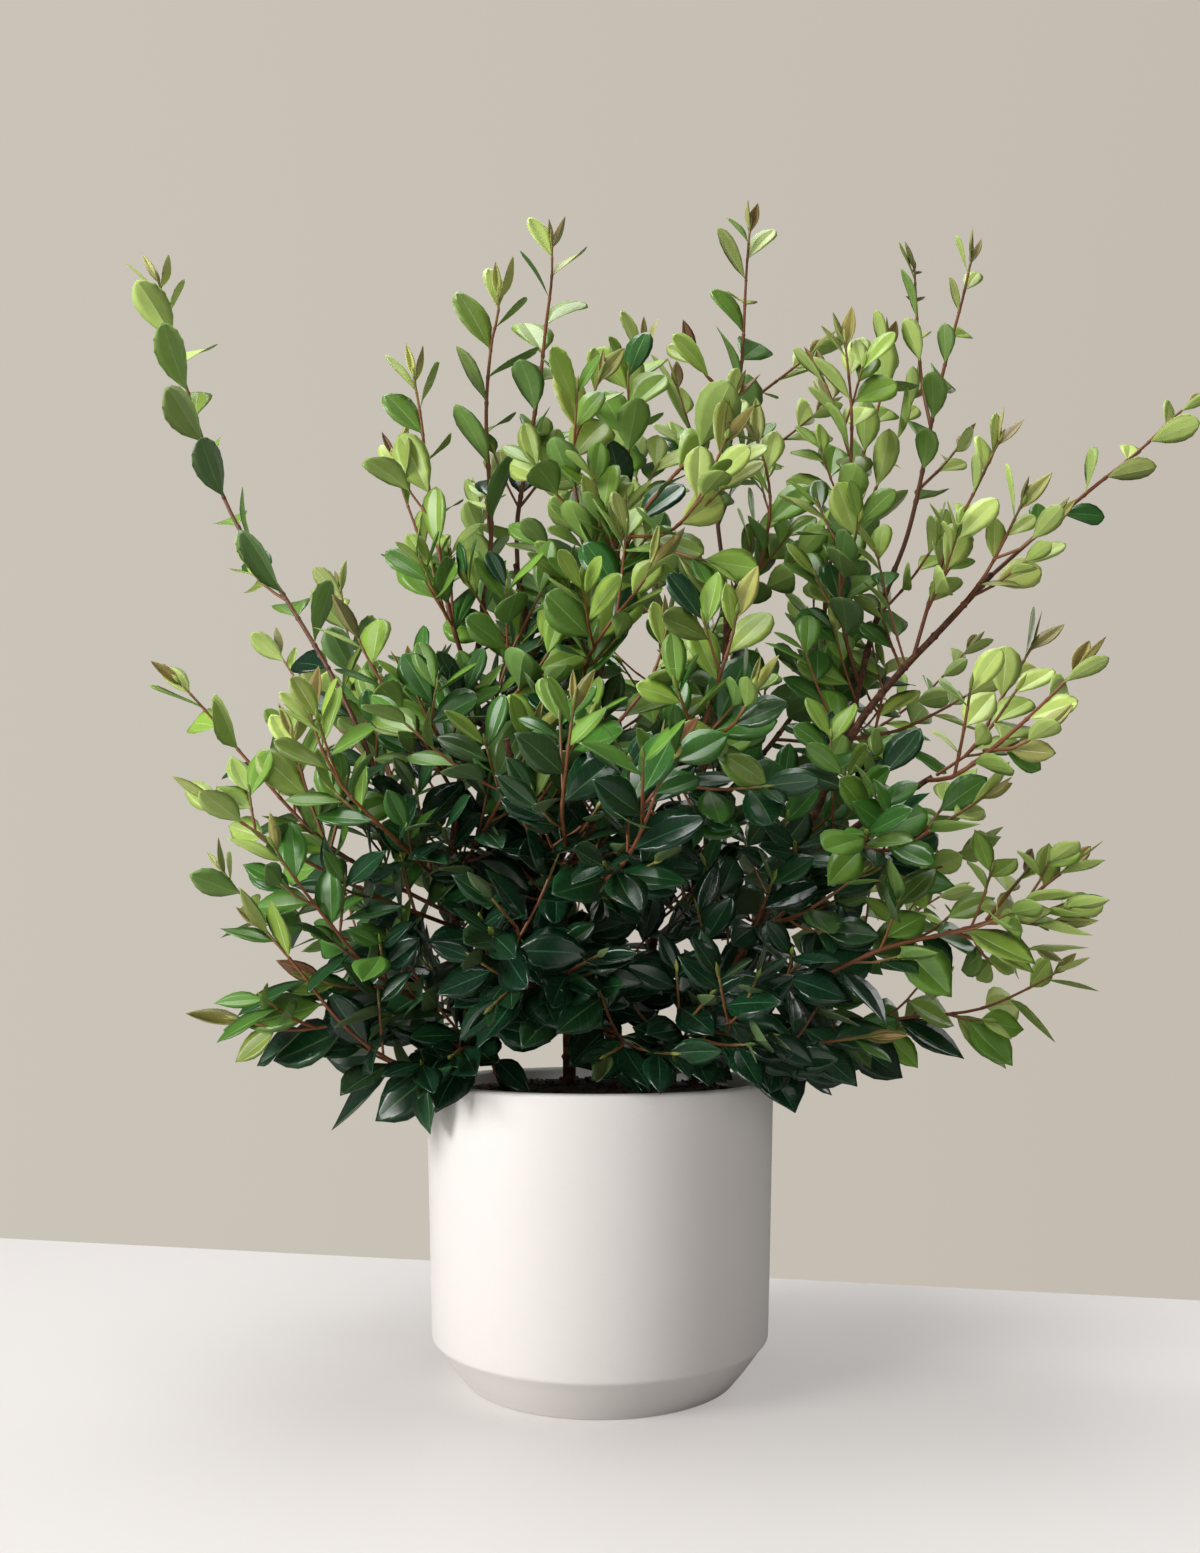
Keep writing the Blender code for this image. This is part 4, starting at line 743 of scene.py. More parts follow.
def fit_to_place(leaf, age):
    """Resize an old leaf by its place, and turn one on the right to the window."""
    low = share_of(LARGER_BELOW, leaf.root.z, LARGER_FADE)
    size = 1 + age * (LARGER_SHARE * low - SMALLER_SHARE * share_of(leaf.root.x, *FLANK_OVER) * (1 - low))
    leaf = leaf._replace(length=leaf.length * size, width=leaf.width * size)
    if leaf.face.dot(WINDOW_SIDE) < 0:
        return leaf
    face = leaf.face + WINDOW_SIDE * TURNED_SHARE * share_of(leaf.root.x, *TURNED_OVER)
    return leaf._replace(face=(face - leaf.heading * face.dot(leaf.heading)).normalized())


def place_extra(axis, spot, room):
    """Set a leaf that the solids leave out, clear of all else and of the open places, or give it up."""
    number, distance, age = spot
    own_kinds = () if number < 2 else ("leaf",)
    turns = [(turn, False) for turn in LEAF_TURNS]
    if axis.rank == 1:
        turns += [(turn, True) for turn in LEAF_TURNS[:3]]
    for aside, anywhere in turns:
        leaf = fit_to_place(leaf_on(axis, number, distance, age, aside), age)
        verts, faces = blade(leaf)
        inside = all(low - BOX_MARGIN <= value <= high + BOX_MARGIN
                     for vert in verts for low, value, high in zip(cad_low, vert, cad_high))
        if not inside or min(vert.z for vert in verts) < LOWEST_LEAF:
            continue
        midrib = [on_leaf(leaf, share, 0.0) for share in MIDRIB_SHARES]
        if not anywhere and closes_opening(midrib, leaf.width * MIDDLE_WIDTH):
            continue
        if not room.crosses(axis.node, verts, faces, own_kinds):
            room.add(axis.node, "leaf", verts, faces)
            return leaf
    return None


def is_kept(axis):
    """Thin out the further twigs towards the edge of the crown, and keep the open places free."""
    rng = random.Random(axis.label + " kept")
    edge = off_centre(axis.path[-1], FULL_CROWN)
    thinned = share_of(axis.path[0].z, *THIN_OVER) * (THIN_EVEN + THIN_EDGE * edge ** 2)
    return rng.random() > thinned and not closes_opening(axis.path, 0.0)


def grow_fully():
    """Lay out the solids' leaves first, in the same order, and then all that they leave out."""
    room = Room()
    room.add("pot", "pot", *lathe(planter_profile()))
    room.add("soil", "soil", *lathe(soil_profile()))
    wood = wood_axes()
    for axis in wood:
        room.add(axis.node, "wood", *tube(axis.path, axis.start + CLEAR, axis.end + CLEAR, TRUNK_SIDES))
    stems = stem_axes(wood)
    for axis in stems:
        foot = axis.start * ROOM_SHARE + CLEAR
        room.add(axis.node, "stem", *tube(axis.spine, foot, axis.end + CLEAR, ROOM_SIDES))
    twigs = twig_axes(wood, room, TRUNK_TWIGS) + twig_axes(stems, room, STEM_TWIGS)
    spots = [(axis, spot) for axis in stems + twigs for spot in leaf_spots(axis)]
    grown = [(axis, spot, place_leaf(axis, spot, room)) for axis, spot in spots if in_source(axis, spot[0])]
    grown += [(axis, spot, place_extra(axis, spot, room)) for axis, spot in spots
              if not in_source(axis, spot[0])]
    more = twig_axes(wood, room, MORE_TRUNK_TWIGS) + twig_axes(stems + twigs, room, MORE_STEM_TWIGS)
    for axis in filter(is_kept, more):
        borne = [(axis, spot, place_extra(axis, spot, room)) for spot in leaf_spots(axis)]
        borne = [item for item in borne if item[2]]
        if len(borne) >= FEWEST_LEAVES:
            twigs.append(axis)
            grown += borne
    return wood, stems + twigs, [item for item in grown if item[2]]


# Handling of pieces

def start(name, add, **settings):
    """Add a primitive with all else deselected, and return it under its name."""
    bpy.ops.object.select_all(action="DESELECT")
    add(**settings)
    bpy.context.object.name = name
    return bpy.context.object


def open_edit(select="VERT"):
    """Edit the active object's mesh, with all of it selected."""
    bpy.ops.object.mode_set(mode="EDIT")
    bpy.ops.mesh.select_mode(type=select)
    bpy.ops.mesh.select_all(action="SELECT")


def close_edit():
    bpy.ops.object.mode_set(mode="OBJECT")


def move(x, y, z):
    bpy.ops.transform.translate(value=(x, y, z))


def copy_of(form):
    """Copy a form, with a mesh of its own."""
    copy = form.copy()
    copy.data = form.data.copy()
    bpy.context.scene.collection.objects.link(copy)
    return copy


def pick(test):
    """In edit mode, select the vertices whose place passes a test, and no others."""
    mesh = bpy.context.object.data
    edit = bmesh.from_edit_mesh(mesh)
    for vertex in edit.verts:
        vertex.select = test(vertex.co)
    edit.select_flush_mode()
    bmesh.update_edit_mesh(mesh)


def join(objects, name):
    """Join objects into the first one."""
    bpy.ops.object.select_all(action="DESELECT")
    for obj in objects:
        obj.select_set(True)
    bpy.context.view_layer.objects.active = objects[0]
    if len(objects) > 1:
        bpy.ops.object.join()
    objects[0].name = name
    objects[0].data.name = name
    return objects[0]


def mark(obj, looks):
    """Give the vertices of an object their looks, three numbers each."""
    attribute = obj.data.attributes.get("looks") or obj.data.attributes.new("looks", "FLOAT_VECTOR", "POINT")
    attribute.data.foreach_set("vector", looks)


# Leaf forms, one unit long and wide: points of (place along the leaf, half width), then the fold

LEAF_FORMS = {
    "round": (((0, 0.030), (0.07, 0.035), (0.17, 0.16), (0.32, 0.35), (0.50, 0.47), (0.67, 0.50),
               (0.83, 0.41), (0.945, 0.21), (1, 0.012)), 0.10),
    "oval": (((0, 0.030), (0.07, 0.038), (0.17, 0.20), (0.31, 0.39), (0.48, 0.49), (0.65, 0.485),
              (0.81, 0.365), (0.93, 0.165), (1, 0.010)), 0.11),
    "pointed": (((0, 0.030), (0.07, 0.040), (0.17, 0.22), (0.31, 0.41), (0.46, 0.495), (0.62, 0.46),
                 (0.78, 0.315), (0.91, 0.125), (1, 0.008)), 0.12),
    "spear": (((0, 0.10), (0.07, 0.14), (0.18, 0.32), (0.34, 0.48), (0.50, 0.50), (0.66, 0.42),
               (0.82, 0.26), (0.93, 0.12), (1, 0.010)), 0.45),
}
LEAF_COLUMNS = 4
LEAF_THICKNESS = 0.018
NEAR_RIM = 0.49
NEAR_ROW = 0.01
CLOSE = 1e-4
TOUCHING = 1e-5
# Columns of a leaf by their share of its half width, with how deep the fold takes them
LEAF_FOLDS = ((0.0, 0.4, 2.0), (0.4, 0.6, 0.7))
BUD_SUNK = 1 * MM
BUD_LENGTH = (8 * MM, 14 * MM)
BUD_WIDTH = (2.6 * MM, 4.4 * MM)
BUD_BEND = 0.05
MOST_TWIST = 0.45
MOST_WAVE = 0.035
WAVES = 7
MOST_SWAY = 0.10
FOLD_UNEVENNESS = (0.3, 1.4)

# Where a leaf stands in the open, which makes it lighter, partly as fresh growth and partly as painted light:
# (from, over) in metres, first across and then up
HIGH_FRESH_AND_LIT = (0.38, 0.34)
LEFT_FRESH_AND_LIT = ((0.09, 0.14), (0.20, 0.12))
RIGHT_PAINTED_LIGHT = ((0.14, 0.12), (0.17, 0.08))
FRONT_FRESH_AND_LIT = ((0.0, 0.09), (0.40, 0.10))
TIP_REACH = 190 * MM
TIP_BY_RANK = (1.0, 1.0, 0.8, 0.6)
FRONT_TIP_SHARE = 0.9
HIGH_RIGHT_LESS = 0.7
# How much lighter a leaf is made high up, on the left, on the right, in front and near a tip. Near a tip this
# is fresh growth; high up, on the left and in front it is partly painted light where the lamps fall; on the
# right flank it is painted light that makes up for the flank's shade
FRESH_AND_PAINTED_LIGHT_SHARES = (0.40, 0.20, 0.48, 0.12, 0.60)
TONE_UNEVENNESS = 0.19
OLDER = 0.30
OLDER_CHANCE = 0.26
YOUNG = 0.4
POINTED_BELOW = 0.40
OVAL_BELOW = 0.50
FORM_UNEVENNESS = 0.10


def model_leaf(name, outline, fold):
    """Model a closed thin leaf, root at the origin and tip at +Y, folded a little along its midrib."""
    rows = len(outline) - 1
    leaf = start(name, bpy.ops.mesh.primitive_grid_add, size=1, x_subdivisions=LEAF_COLUMNS,
                 y_subdivisions=rows)
    open_edit()
    bpy.ops.mesh.duplicate()
    bpy.ops.mesh.flip_normals()
    move(0, 0, -LEAF_THICKNESS)
    pick(lambda place: place.z < -LEAF_THICKNESS / 2 and max(abs(place.x), abs(place.y)) > NEAR_RIM)
    move(0, 0, LEAF_THICKNESS)
    bpy.ops.mesh.select_all(action="SELECT")
    bpy.ops.mesh.remove_doubles(threshold=TOUCHING)
    close_edit()
    under = leaf.data.attributes.new("under", "FLOAT", "FACE")
    for face in leaf.data.polygons:
        depth = min(leaf.data.vertices[index].co.z for index in face.vertices)
        under.data[face.index].value = 1.0 if depth < -LEAF_THICKNESS / 2 else 0.0
    open_edit()
    move(0, 0.5 + 2 * rows, 0)
    for row, (along, half) in enumerate(outline):
        level = 2 * rows + row / rows
        pick(lambda place: abs(place.y - level) < NEAR_ROW)
        bpy.ops.transform.resize(value=(2 * half, 1, 1), center_override=(0, level, 0))
        move(0, along - level, 0)
        for inner, outer, drop in LEAF_FOLDS:
            pick(lambda place: abs(place.y - along) < CLOSE and inner * half <= abs(place.x) < outer * half)
            move(0, 0, -drop * fold * half)
    close_edit()
    for face in leaf.data.polygons:
        for corner in face.loop_indices:
            place = leaf.data.vertices[leaf.data.loops[corner].vertex_index].co
            leaf.data.uv_layers[0].data[corner].uv.y = place.y
    bpy.ops.object.shade_smooth()
    open_edit()
    pick(lambda place: abs(place.x) < CLOSE)
    bpy.ops.mesh.mark_sharp()
    close_edit()
    mark(leaf, [0.0] * (3 * len(leaf.data.vertices)))
    leaf.data.materials.append(LEAF)
    return leaf


def model_bud():
    """Model a closed pointed bud, one unit long and wide, with its root at the origin and its tip at +Y."""
    bud = start("bud", bpy.ops.mesh.primitive_uv_sphere_add, segments=8, ring_count=6, radius=0.5)
    open_edit()
    bpy.ops.transform.rotate(value=math.pi / 2, orient_axis="X", center_override=(0, 0, 0))
    pick(lambda place: place.y > NEAR_RIM)
    move(0, 0.25, 0)
    bpy.ops.mesh.select_all(action="SELECT")
    move(0, 0.5, 0)
    bpy.ops.transform.resize(value=(1, 0.8, 1), center_override=(0, 0, 0))
    close_edit()
    bpy.ops.object.shade_smooth()
    mark(bud, [0.0] * (3 * len(bud.data.vertices)))
    bud.data.materials.append(LEAF)
    return bud


def tip_bud(axis, rng):
    """Place the bud that ends a shoot, as a leaf without arch."""
    tip, along = point_at(axis.path, path_length(axis.path) - BUD_SUNK)
    face = around_stem(along, rng.uniform(0, math.tau))
    return Leaf(axis.node, tip, along, face, rng.uniform(*BUD_LENGTH), rng.uniform(*BUD_WIDTH), BUD_BEND)


def leaf_copy(form, leaf, looks, rng):
    """Set a copy of a leaf form on the plant, arched, a little twisted and waved as its leaf is."""
    copy = copy_of(form)
    twist = rng.uniform(-MOST_TWIST, MOST_TWIST)
    wave = rng.uniform(0, MOST_WAVE)
    phase = rng.uniform(0, math.tau)
    fold = rng.uniform(*FOLD_UNEVENNESS)
    sway = rng.uniform(-MOST_SWAY, MOST_SWAY)
    for vertex in copy.data.vertices:
        across, along, lift = vertex.co
        turn = twist * along
        lift = lift * fold + wave * math.sin(phase + WAVES * along) * abs(across) * 2
        side = across * math.cos(turn) - lift * math.sin(turn) + sway * along ** 2
        height = across * math.sin(turn) + lift * math.cos(turn)
        vertex.co = on_leaf(leaf, along, side * leaf.width, height * leaf.width)
    mark(copy, list(looks) * len(copy.data.vertices))
    return copy


def tone_and_painted_light_of(axis, spot, leaf, rng):
    """Tell how light a leaf's colour is made, by its youth and by painted light: 0 is dark and bluish, 1 is a
    fresh yellow-green.
    """
    place = leaf.root
    # Painted light as well as fresh growth: lighter high up, on the lit left and in front, and lighter on the
    # shaded right flank to make up for its shade
    high = share_of(place.z, *HIGH_FRESH_AND_LIT)
    left = share_of(-place.x, *LEFT_FRESH_AND_LIT[0]) * share_of(place.z, *LEFT_FRESH_AND_LIT[1])
    right = share_of(place.x, *RIGHT_PAINTED_LIGHT[0]) * share_of(place.z, *RIGHT_PAINTED_LIGHT[1])
    front = share_of(-place.y, *FRONT_FRESH_AND_LIT[0]) * share_of(place.z, *FRONT_FRESH_AND_LIT[1])
    fresh_and_lit = max(high, left, right, FRONT_TIP_SHARE * front)
    tip = max(0.0, 1 - spot[1] / TIP_REACH) * TIP_BY_RANK[axis.rank] * fresh_and_lit
    fresh_and_lit_airs = (high, left, right * (1 - HIGH_RIGHT_LESS * high), front, tip)
    tone_and_light = sum(share * air for share, air in zip(FRESH_AND_PAINTED_LIGHT_SHARES, fresh_and_lit_airs))
    tone_and_light += rng.uniform(-TONE_UNEVENNESS, TONE_UNEVENNESS)
    return clamp(tone_and_light - (OLDER if rng.random() < OLDER_CHANCE * spot[2] else 0.0))


def form_of(spot, leaf, rng):
    """Choose the leaf form by age and height."""
    if spot[2] < YOUNG:
        return "spear"
    height = leaf.root.z + rng.uniform(-FORM_UNEVENNESS, FORM_UNEVENNESS)
    return "pointed" if height < POINTED_BELOW else "oval" if height < OVAL_BELOW else "round"


# Shoots

SHOOT_SIDES = 3
SWELLING = ((-3.2 * MM, 1.0), (0, 1.28), (2.4 * MM, 1.0))
GREEN_LENGTH = 220 * MM
TAPER = (1.0, 1.8, 1.3, 1.0)


def shoot(axis, nodes, chance):
    """Make a shoot as a round tapering curve, swollen a little at each node, and turn it into a mesh."""
    obj = start(axis.label, bpy.ops.curve.primitive_nurbs_path_add)
    curve = obj.data
    curve.splines.clear()
    curve.bevel_depth = 1.0
    curve.bevel_resolution = SHOOT_SIDES
    curve.use_fill_caps = True
    length = path_length(axis.path)
    stops = {round(length * i / (len(axis.path) - 1), 6): 1.0 for i in range(len(axis.path))}
    for node in nodes:
        for step, swell in SWELLING:
            stops[round(min(length, max(0.0, length - node + step)), 6)] = swell
    line = curve.splines.new("POLY")
    places = sorted(stops)
    line.points.add(len(places) - 1)
    for point, distance in zip(line.points, places):
        point.co = (*point_at(axis.path, distance)[0], 1)
        taper = (distance / length) ** TAPER[axis.rank]
        point.radius = (axis.start + (axis.end - axis.start) * taper) * stops[distance]
    bpy.ops.object.convert(target="MESH")
    obj = bpy.context.object
    obj.location = (0, 0, 0)
    count = len(obj.data.vertices)
    ring = count // len(places)
    looks = []
    for index in range(count):
        distance = places[min(index // ring, len(places) - 1)]
        looks += [min(1.0, (length - distance) / GREEN_LENGTH), chance, 0.0]
    mark(obj, looks)
    bpy.ops.object.shade_smooth()
    return obj


# Leafy stems and trunks

WIDER = {"spear": 1.0, "pointed": 1.10, "oval": 1.08, "round": 1.10}
WITHERED = (("right_top_1", 1), ("right_top_1", 3))
WITHERED_SIZE = 0.55
WITHERED_BEND = 1.7
WITHERED_LOOKS = (0.1, 0.0, 1.5)
# How bronze leaves are, young ones by their tone too
BUD_TONE = (0.5, 0.8)
BUD_BRONZE = (0.2, 0.9)
YOUNG_BRONZE = (0.5, 1.2)
OLD_BRONZE = (-2.2, 0.7)
BRONZE_TONES = (0.1, 0.3)
# Trunk bark and its knots
BARK_STEP = 9 * MM
BARK_DEPTH = 0.35 * MM
BARK_SCALE = 260
FIRST_KNOT = 12 * MM
KNOT_SPACING = (18, 40)


def dress_stem(name, node, axes, grown, forms):
    """Join shoots and leaves into one fine piece, which takes the place of its node or of a part of it."""
    parts = []
    for axis in axes:
        rng = random.Random(axis.label + " shoot")
        parts.append(shoot(axis, [spot[1] for spot in leaf_spots(axis)], rng.random()))
        parts[-1].data.materials.append(SHOOT)
        looks = (rng.uniform(*BUD_TONE), rng.random(), rng.uniform(*BUD_BRONZE))
        parts.append(leaf_copy(forms["bud"], tip_bud(axis, rng), looks, rng))
    for axis, spot, leaf in grown:
        rng = random.Random("%s dress %d" % (axis.label, spot[0]))
        root = point_at(axis.path, path_length(axis.path) - spot[1])[0] - leaf.heading * axis.end * SUNK_SHARE
        tone_and_light = tone_and_painted_light_of(axis, spot, leaf, rng)
        if spot[2] < YOUNG:
            bronze = rng.uniform(*YOUNG_BRONZE) * share_of(tone_and_light, *BRONZE_TONES)
        else:
            bronze = rng.uniform(*OLD_BRONZE) * tone_and_light
        form = form_of(spot, leaf, rng)
        looks = (tone_and_light, rng.random(), max(0.0, bronze))
        if (axis.label, spot[0]) in WITHERED:
            form = "oval"
            looks = WITHERED_LOOKS
            leaf = leaf._replace(length=leaf.length * WITHERED_SIZE, bend=WITHERED_BEND)
        leaf = leaf._replace(root=root, width=leaf.width * WIDER[form])
        parts.append(leaf_copy(forms[form], leaf, looks, rng))
    piece = join(parts, name + "_fine")
    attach(piece, "root")
    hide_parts(node)


def dress_trunk(name, axes):
    """Make a trunk and its limbs as fine curves with uneven bark."""
    parts = []
    for axis in axes:
        rng = random.Random(axis.label + " bark")
        finer = axis._replace(path=smooth_path(axis.path, BARK_STEP))
        knots = []
        distance = FIRST_KNOT
        while distance < path_length(finer.path) - FIRST_KNOT:
            knots.append(distance)
            distance += rng.uniform(*KNOT_SPACING) * MM
        parts.append(shoot(finer, knots, rng.random()))
    piece = join(parts, name + "_fine")
    for vertex in piece.data.vertices:
        vertex.co += vertex.normal * BARK_DEPTH * noise.noise(vertex.co * BARK_SCALE)
    piece.data.materials.append(BARK)
    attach(piece, "root")
    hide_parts(name)


# Planter and soil

TURNED_SIDES = 144
# How far along the foot's slope and up the wall, as shares, the planter has a ring
FOOT_RINGS = (0.35, 0.65, 0.86)
WALL_RINGS = (0.08, 0.35, 0.65, 0.92)
SHARP_FROM = math.radians(35)
# The foot's flat underside, and the centres of the rounded foot and shoulder as (radius, height)
FOOT_FLAT = FOOT_RADIUS - 3 * MM
FOOT_CENTRE = (FOOT_RADIUS - 2.4 * MM, FOOT_ROUNDING)
SHOULDER_CENTRE = (SHOULDER_RADIUS - SHOULDER_ROUNDING - 0.1 * MM, SHOULDER_HEIGHT + 0.9 * MM)
SOIL_SIDES = 96
SOIL_RINGS = 22
FINE_SOIL_GAP = 0.4 * MM
# Roughness of the soil as (scale, rise in millimetres), fading over its edge, and its crumbs
SOIL_ROUGHNESS = ((90, 1.6), (300, 1.1))
SMOOTH_EDGE = 6 * MM
CRUMB_REACH = 0.975
CRUMBS = 420
CRUMB_SIZE = (0.8, 3.2)
CRUMB_ROUGHNESS = 0.25
CRUMB_STRETCH = ((0.6, 1.9), (0.6, 1.2), (0.4, 0.9))


def between(low, high, shares):
    """Points on the line from one point of a profile to another."""
    return [tuple(a + (b - a) * share for a, b in zip(low, high)) for share in shares]


def turn_profile(name, profile, sides):
    """Raise a turned body from a disc: each next ring is extruded from the last and resized."""
    last = profile[0]
    body = start(name, bpy.ops.mesh.primitive_circle_add, vertices=sides, radius=last[0], fill_type="NGON",
                 location=(0, 0, last[1]))
    bpy.ops.object.transform_apply(location=True, rotation=True, scale=True)
    open_edit("EDGE")
    for radius, height in profile[1:]:
        bpy.ops.mesh.extrude_edges_move(TRANSFORM_OT_translate={"value": (0, 0, height - last[1])})
        share = radius / last[0]
        bpy.ops.transform.resize(value=(share, share, 1), center_override=(0, 0, height))
        last = (radius, height)
    bpy.ops.mesh.edge_face_add()
    bpy.ops.mesh.select_all(action="SELECT")
    bpy.ops.mesh.normals_make_consistent(inside=False)
    close_edit()
    return body


def make_planter():
    shoulder = (SHOULDER_RADIUS, SHOULDER_HEIGHT)
    slope = math.degrees(math.atan2(SHOULDER_HEIGHT, SHOULDER_RADIUS - FOOT_RADIUS))
    profile = [(FOOT_FLAT, 0)]
    profile += arc(FOOT_CENTRE, FOOT_ROUNDING, -75, slope - 90, 4)
    profile += between((FOOT_RADIUS, 0), shoulder, FOOT_RINGS)
    profile += arc(SHOULDER_CENTRE, SHOULDER_ROUNDING, slope - 86, -1, 6)
    profile += between(shoulder, (RIM_RADIUS, RIM_HEIGHT - RIM_ROUNDING), WALL_RINGS)
    planter = turn_profile("planter", profile + rim_to_floor(7), TURNED_SIDES)
    bpy.ops.object.shade_smooth_by_angle(angle=SHARP_FROM)
    planter.data.materials.append(CERAMIC)
    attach(planter, "root")
    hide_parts("pot")


def soil_level(radius):
    """Height of the soil's crown at a radius."""
    share = min(1.0, radius / (RIM_RADIUS - WALL))
    return SOIL_EDGE + (SOIL_CROWN - SOIL_EDGE) * (1 - share ** 2)


def make_soil(forms):
    rng = random.Random("soil crumbs")
    low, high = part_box("soil")
    edge = high.x - FINE_SOIL_GAP
    profile = [(edge - 4 * MM, low.z + 30 * MM), (edge - 1 * MM, SOIL_EDGE - 20 * MM), (edge, SOIL_EDGE)]
    rings = [edge * (1 - step / SOIL_RINGS) for step in range(1, SOIL_RINGS)]
    soil = turn_profile("soil_bed", profile + [(radius, soil_level(radius)) for radius in rings], SOIL_SIDES)
    for vertex in soil.data.vertices:
        if vertex.co.z > SOIL_EDGE - 1 * MM:
            inner = min(1.0, (edge - vertex.co.xy.length) / SMOOTH_EDGE)
            rough = sum(noise.noise(vertex.co * scale) * rise for scale, rise in SOIL_ROUGHNESS)
            vertex.co.z += rough * MM * inner
    parts = [soil]
    for _ in range(CRUMBS):
        radius = edge * math.sqrt(rng.random()) * CRUMB_REACH
        turn = rng.uniform(0, math.tau)
        place = Vector((radius * math.cos(turn), radius * math.sin(turn), soil_level(radius)))
        crumb = copy_of(forms["crumb"])
        size = rng.uniform(*CRUMB_SIZE) * MM
        turned = rng.uniform(0, math.tau)
        spin = Matrix.Rotation(turned, 3, Vector((rng.random(), rng.random(), 1)).normalized())
        stretch = Vector([rng.uniform(*limits) for limits in CRUMB_STRETCH])
        for vertex in crumb.data.vertices:
            vertex.co = place + spin @ (vertex.co * stretch * size)
        parts.append(crumb)
    piece = join(parts, "soil_fine")
    piece.data.materials.append(SOIL)
    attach(piece, "root")
    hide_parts("soil")


def model_crumb():
    """Model one rough crumb of the potting mix."""
    crumb = start("crumb", bpy.ops.mesh.primitive_ico_sphere_add, subdivisions=1, radius=1)
    open_edit()
    bpy.ops.transform.vertex_random(offset=CRUMB_ROUGHNESS, seed=3)
    close_edit()
    return crumb


# Finishes: colours as stops of (place, colour code), and the leaf's lines by their place across and along it

SOIL_STOPS = ((0.30, "150D09"), (0.52, "2A1B13"), (0.64, "46301F"), (0.75, "6B4C33"))
BARK_STOPS = ((0.30, "2E1B12"), (0.50, "5B3826"), (0.66, "85573A"), (0.80, "A88463"))
SHOOT_STOPS = ((0.0, "7A6E38"), (0.08, "85502F"), (0.40, "7E4A2A"), (1.0, "663B25"))
LEAF_STOPS = ((0.0, "10301C"), (0.20, "1B4826"), (0.30, "2E6025"), (0.40, "477C29"), (0.60, "729C36"),
              (0.80, "98B648"), (1.0, "BAD06B"))
BRONZE_STOPS = ((0.0, "7C3E2B"), (0.5, "8A6A3C"), (1.0, "A88A52"))
LINE_STOPS = ((0.0, "3F7350"), (0.40, "88B466"), (1.0, "E2ECB4"))
CERAMIC_COLOUR = "F0EBE9"
BRONZE_STRENGTH = 0.8
BRIGHTNESS = 0.8
BRIGHTNESS_SPREAD = 0.44
UNDER_COLOUR = "8FA66A"
UNDER_STRENGTH = 0.35
GLOSS = 0.55
LEAST_ROUGH = 0.23
YOUNG_ROUGHER = 0.25
UNDER_ROUGHER = 0.25
RIDGE_DEPTH = -0.4
VEINS = 7.5
VEIN_SLANT = 3.2
VEIN_FROM = 0.93
VEIN_STRENGTH = 0.14
RIB_WIDTH = 0.027
RIB_TAPER = 0.017
RIB_STRENGTH = 0.65
MARGIN_FROM = 0.487
MARGIN_STRENGTH = 0.55


def srgb(code):
    """Turn a colour code into linear red, green, blue and alpha."""
    parts = [int(code[i:i + 2], 16) / 255 for i in (0, 2, 4)]
    return tuple(c / 12.92 if c <= 0.04045 else ((c + 0.055) / 1.055) ** 2.4 for c in parts) + (1.0,)


def new_finish(name, roughness):
    """Start a material, and return it with its node tree and its shader."""
    material = bpy.data.materials.new(name)
    material.use_nodes = True
    tree = material.node_tree
    shader = tree.nodes["Principled BSDF"]
    shader.inputs["Roughness"].default_value = roughness
    return material, tree, shader


def connect(tree, socket, value):
    """Give a socket its value, or link it to the socket that gives the value."""
    if isinstance(value, bpy.types.NodeSocket):
        tree.links.new(value, socket)
    else:
        socket.default_value = value


def feed(tree, node, **inputs):
    """Connect a node's inputs by name, with underscores for spaces."""
    for name, value in inputs.items():
        connect(tree, node.inputs[name.replace("_", " ")], value)


def add_node(tree, kind, **inputs):
    node = tree.nodes.new("ShaderNode" + kind)
    feed(tree, node, **inputs)
    return node


def math_node(tree, operation, first, second=0.0, clamp=False):
    node = add_node(tree, "Math")
    node.operation = operation
    node.use_clamp = clamp
    for socket, value in zip(node.inputs, (first, second)):
        connect(tree, socket, value)
    return node.outputs[0]


def plus(tree, first, second):
    return math_node(tree, "ADD", first, second)


def minus(tree, first, second):
    return math_node(tree, "SUBTRACT", first, second)


def times(tree, first, second):
    return math_node(tree, "MULTIPLY", first, second)


def blend_colours(tree, share, first, second):
    """Mix two colours by a share. Each of the three may be a value or a socket."""
    node = add_node(tree, "Mix")
    node.data_type = "RGBA"
    for place, value in ((0, share), (6, first), (7, second)):
        connect(tree, node.inputs[place], value)
    return node.outputs[2]


def ramp(tree, factor, stops):
    """Turn a factor into a colour by stops of (place, colour code)."""
    node = add_node(tree, "ValToRGB", Fac=factor)
    elements = node.color_ramp.elements
    while len(elements) < len(stops):
        elements.new(0.5)
    for element, (place, code) in zip(elements, stops):
        element.position = place
        element.color = srgb(code)
    return node.outputs["Color"]


def noise_node(tree, scale, detail=3.0, roughness=0.55):
    """Noise in the object's own coordinates."""
    place = add_node(tree, "TexCoord").outputs["Object"]
    node = add_node(tree, "TexNoise", Vector=place, Scale=scale, Detail=detail, Roughness=roughness)
    return node.outputs["Fac"]


